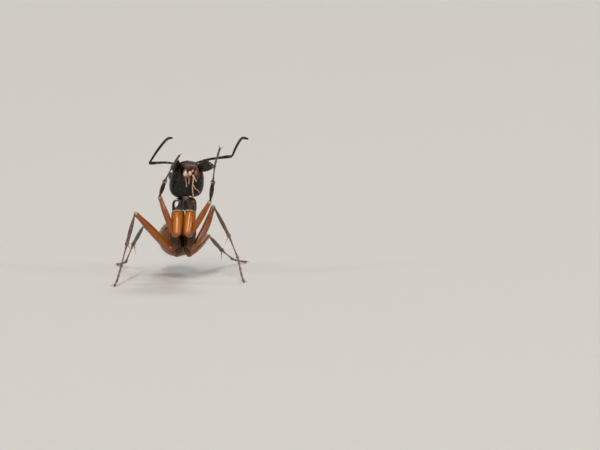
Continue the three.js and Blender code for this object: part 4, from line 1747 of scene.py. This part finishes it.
    def claws(self, path, plane, stands):
        """Two claws that spread and hook down from the end of a tarsus, and its round pad. Under a
        leg that stands, both rest on the floor."""
        reach = settings().limbs.claw / MM
        end = path[-1]
        ahead = unit(path[-1] - path[-8])
        aside = unit(np.cross(ahead, (0, 0, 1))) if stands else plane
        down = -np.cross(aside, ahead)
        down = down * -np.sign(down[2] + TINY)
        if stands:
            ahead = unit(ahead * (1, 1, 0))
            down = np.array([0, 0, -1.0])
        lowered = down * (0.04 if stands else 0.012)
        pad = end + body_grid((0.11, 0.11, 0.11), (0, 0, 0), straight, 14, 18) + lowered
        pad[..., 2] = np.maximum(pad[..., 2], 0)
        parts = [sleeve(pad)]
        for out in (-1, 1):
            a = np.linspace(0, 1, 12)[:, None]
            spread = aside * out * (0.03 + 0.55 * reach * a)
            hook = ahead * reach * np.sin(a * 1.9) * 0.8
            hook = hook + down * 0.07 * (a**2 - 0.35 * np.sin(np.pi * a))
            line = end + spread + hook
            if stands:
                line[:, 2] = np.maximum(line[:, 2], CLAW_HALF)
            grid, s = limb_grid(
                line, lambda s: CLAW_HALF * (1 - 0.8 * s), down, rows=24, sides=10, caps=(0.08, 0.03)
            )
            parts.append(sleeve(grid, 0.3 * s))
        return parts


# ---- Hairs ---------------------------------------------------------------------------------------


class ANT_OT_hairs(bpy.types.Operator):
    """Grows the sparse upright hairs and the short down over the skins made so far"""

    bl_idname = "ant.hairs"
    bl_label = "Hairs"

    def execute(self, context):
        coat = settings().coat
        rng = np.random.default_rng(coat.seed)
        erect, down = coat.erect / MM, coat.down / MM
        self.coat_of("head", rng, [("head", 90, erect * 0.7, 0.75)])
        self.coat_of("jaws", rng, [("mandible_" + side, 34, 0.15, 0.7) for side in SIDES])
        feelers = [part + side for side in SIDES for part in ("scape_", "flagellum_")]
        self.coat_of("antennae", rng, [(name, 200, down * 0.6, 0.35) for name in feelers])
        plates = ("pronotum", "mesothorax", "propodeum", "propleurae", "petiole")
        self.coat_of("trunk", rng, [(name, 45, erect, 0.85) for name in plates])
        rings = ["gaster_" + str(i) for i in range(1, 6)]
        self.coat_of("gaster_erect", rng, [(name, 60, erect * 1.15, 0.6) for name in rings])
        self.coat_of("gaster_down", rng, [(name, 500, down * 1.3, 0.12) for name in rings])
        for pair in PAIRS:
            legs = []
            for side in SIDES:
                end = "_%s_%s" % (pair, side)
                legs += [("coxa" + end, 16, erect * 0.5, 0.7), ("femur" + end, 30, erect * 0.35, 0.6)]
                legs += [("tibia" + end, 130, down, 0.3), ("basitarsus" + end, 110, down * 0.9, 0.4)]
                legs += [("tarsus" + end, 90, down * 0.8, 0.4)]
            self.coat_of("legs_" + pair, rng, legs)
        return {"FINISHED"}

    def coat_of(self, name, rng, rows):
        """One object of hairs on several skins, each with its own strip of the map."""
        fullness = settings().coat.fullness
        parts = []
        for i, (skin, count, far, lift) in enumerate(rows):
            band = (i / len(rows), (i + 0.97) / len(rows))
            parts.append(grow(rng, SKINS[skin], int(count * fullness), far, lift, band=band))
        make_piece("hairs_" + name, parts, golden_hair(), uv_name="OFBake")


# ---- Stage ---------------------------------------------------------------------------------------

VIEW_CENTRE = (6.7922, -2.9723, 3.226)  # the middle of the picture, in the frame
FLAT_FLOOR, FLOOR_RISE = 700, 300  # radius of the flat part, and height of the edge
LIGHT_DISTANCE = 2000


class ANT_OT_stage(bpy.types.Operator):
    """Makes the floor, the lights and the camera"""

    bl_idname = "ant.stage"
    bl_label = "Stage"

    def execute(self, context):
        self.make_floor()
        self.make_camera()
        self.make_lights()
        return {"FINISHED"}

    def make_floor(self):
        """A round paper floor whose far edge curves up, by a quarter circle, into a low wall."""
        sides, rows = 96, 36
        turn = np.arange(sides) / sides * TAU
        q = np.linspace(0, np.pi / 2, 24)
        reach = np.concatenate([np.linspace(20, FLAT_FLOOR, 12), FLAT_FLOOR + FLOOR_RISE * np.sin(q)])
        rise = np.concatenate([np.zeros(12), FLOOR_RISE * (1 - np.cos(q))])
        x, y = reach * np.cos(turn)[:, None], reach * np.sin(turn)[:, None]
        grid = np.stack([x.T, y.T, np.broadcast_to(rise[:, None], (rows, sides))], -1)
        points = np.concatenate([grid.reshape(-1, 3), [[0, 0, 0]]])
        i, j = np.meshgrid(np.arange(rows - 1), np.arange(sides), indexing="ij")
        after = (j + 1) % sides
        near, far = i * sides, (i + 1) * sides
        quads = np.stack([near + j, far + j, far + after, near + after], -1)
        k = np.arange(sides)
        fan = np.stack([np.full(sides, rows * sides), k, (k + 1) % sides], -1)
        mesh = bpy.data.meshes.new("floor")
        mesh.from_pydata((points * MM).tolist(), [], quads.reshape(-1, 4).tolist() + fan.tolist())
        mesh.shade_smooth()
        mesh.materials.append(paper())
        floor = bpy.data.objects.new("floor", mesh)
        bpy.context.scene.collection.objects.link(floor)

    def make_camera(self):
        """A long lens that looks a little down along +Y, with the ant in the left of its view."""
        stage = settings().stage
        data = bpy.data.cameras.new("camera")
        data.sensor_width = 36
        data.lens = data.sensor_width * stage.distance / stage.view_width
        data.clip_start, data.clip_end = 5 * MM, 5000 * MM
        camera = bpy.data.objects.new("camera", data)
        bpy.context.scene.collection.objects.link(camera)
        back = Vector(heading(0, stage.elevation))
        centre = Vector(VIEW_CENTRE) * MM
        camera.location = centre + back * stage.distance
        camera.rotation_euler = (-back).to_track_quat("-Z", "Y").to_euler()
        bpy.context.scene.camera = camera

    def make_lights(self):
        """A tall narrow key light in front and above, a weaker one on each side, a rim light from
        behind, and an even pale sky. The floor's raised edge hides the lower part of the two side
        lights from the ant, and their strengths allow for that."""
        stage = settings().stage
        lights = (
            ("key", (-5, 40), (170, 1200), 30 * stage.key, "#fff6ea"),
            ("left_fill", (-54, 13), (260, 800), 17 * stage.fill, "#fff8f0"),
            ("right_fill", (52, 14), (220, 800), 13 * stage.fill, "#fff8f0"),
            ("rim", (160, 50), (900, 500), 14 * stage.rim, "#ffffff"),
        )
        for name, place, size, power, code in lights:
            data = bpy.data.lights.new(name, "AREA")
            data.shape = "RECTANGLE"
            data.size, data.size_y = size[0] * MM, size[1] * MM
            data.energy = power
            data.color = linear(code)
            light = bpy.data.objects.new(name, data)
            bpy.context.scene.collection.objects.link(light)
            way = Vector(heading(*place))
            light.location = Vector((0, 0, 4 * MM)) + way * LIGHT_DISTANCE * MM
            light.rotation_euler = (-way).to_track_quat("-Z", "Y").to_euler()
        world = bpy.data.worlds.new("sky")
        world.use_nodes = True
        world.node_tree.nodes.clear()
        pale = {"Color": (0.9, 0.93, 1.0, 1.0), "Strength": 0.2}
        sky = add(world.node_tree, "ShaderNodeBackground", pale)
        add(world.node_tree, "ShaderNodeOutputWorld", {"Surface": sky.outputs["Background"]})
        bpy.context.scene.world = world
        bpy.context.scene.view_settings.view_transform = "Standard"


# ---- Add-on --------------------------------------------------------------------------------------

OPERATORS = (
    ANT_OT_stage,
    ANT_OT_head,
    ANT_OT_eyes,
    ANT_OT_mandibles,
    ANT_OT_mouthparts,
    ANT_OT_palps,
    ANT_OT_antennae,
    ANT_OT_trunk,
    ANT_OT_membranes,
    ANT_OT_petiole,
    ANT_OT_gaster,
    ANT_OT_legs,
    ANT_OT_hairs,
)


class ANT_PT_panel(bpy.types.Panel):
    """Lists the ant's pieces and settings"""

    bl_idname = "ANT_PT_panel"
    bl_label = "Carpenter Ant"
    bl_space_type = "VIEW_3D"
    bl_region_type = "UI"
    bl_category = "Ant"

    def draw(self, context):
        for operator in OPERATORS:
            self.layout.operator(operator.bl_idname)
        for group in (settings().limbs, settings().coat, settings().colours, settings().stage):
            box = self.layout.box()
            for name in group.__annotations__:
                box.prop(group, name)


CLASSES = (LimbSizes, CoatSettings, ShellColours, StageSettings, AntSettings, *OPERATORS, ANT_PT_panel)


def register():
    for cls in CLASSES:
        bpy.utils.register_class(cls)
    bpy.types.Scene.carpenter_ant = PointerProperty(type=AntSettings)


def unregister():
    del bpy.types.Scene.carpenter_ant
    for cls in reversed(CLASSES):
        bpy.utils.unregister_class(cls)


def main():
    """Makes every piece and the stage."""
    register()
    for operator in OPERATORS:
        group, name = operator.bl_idname.split(".")
        getattr(getattr(bpy.ops, group), name)()


if __name__ == "__main__":
    main()
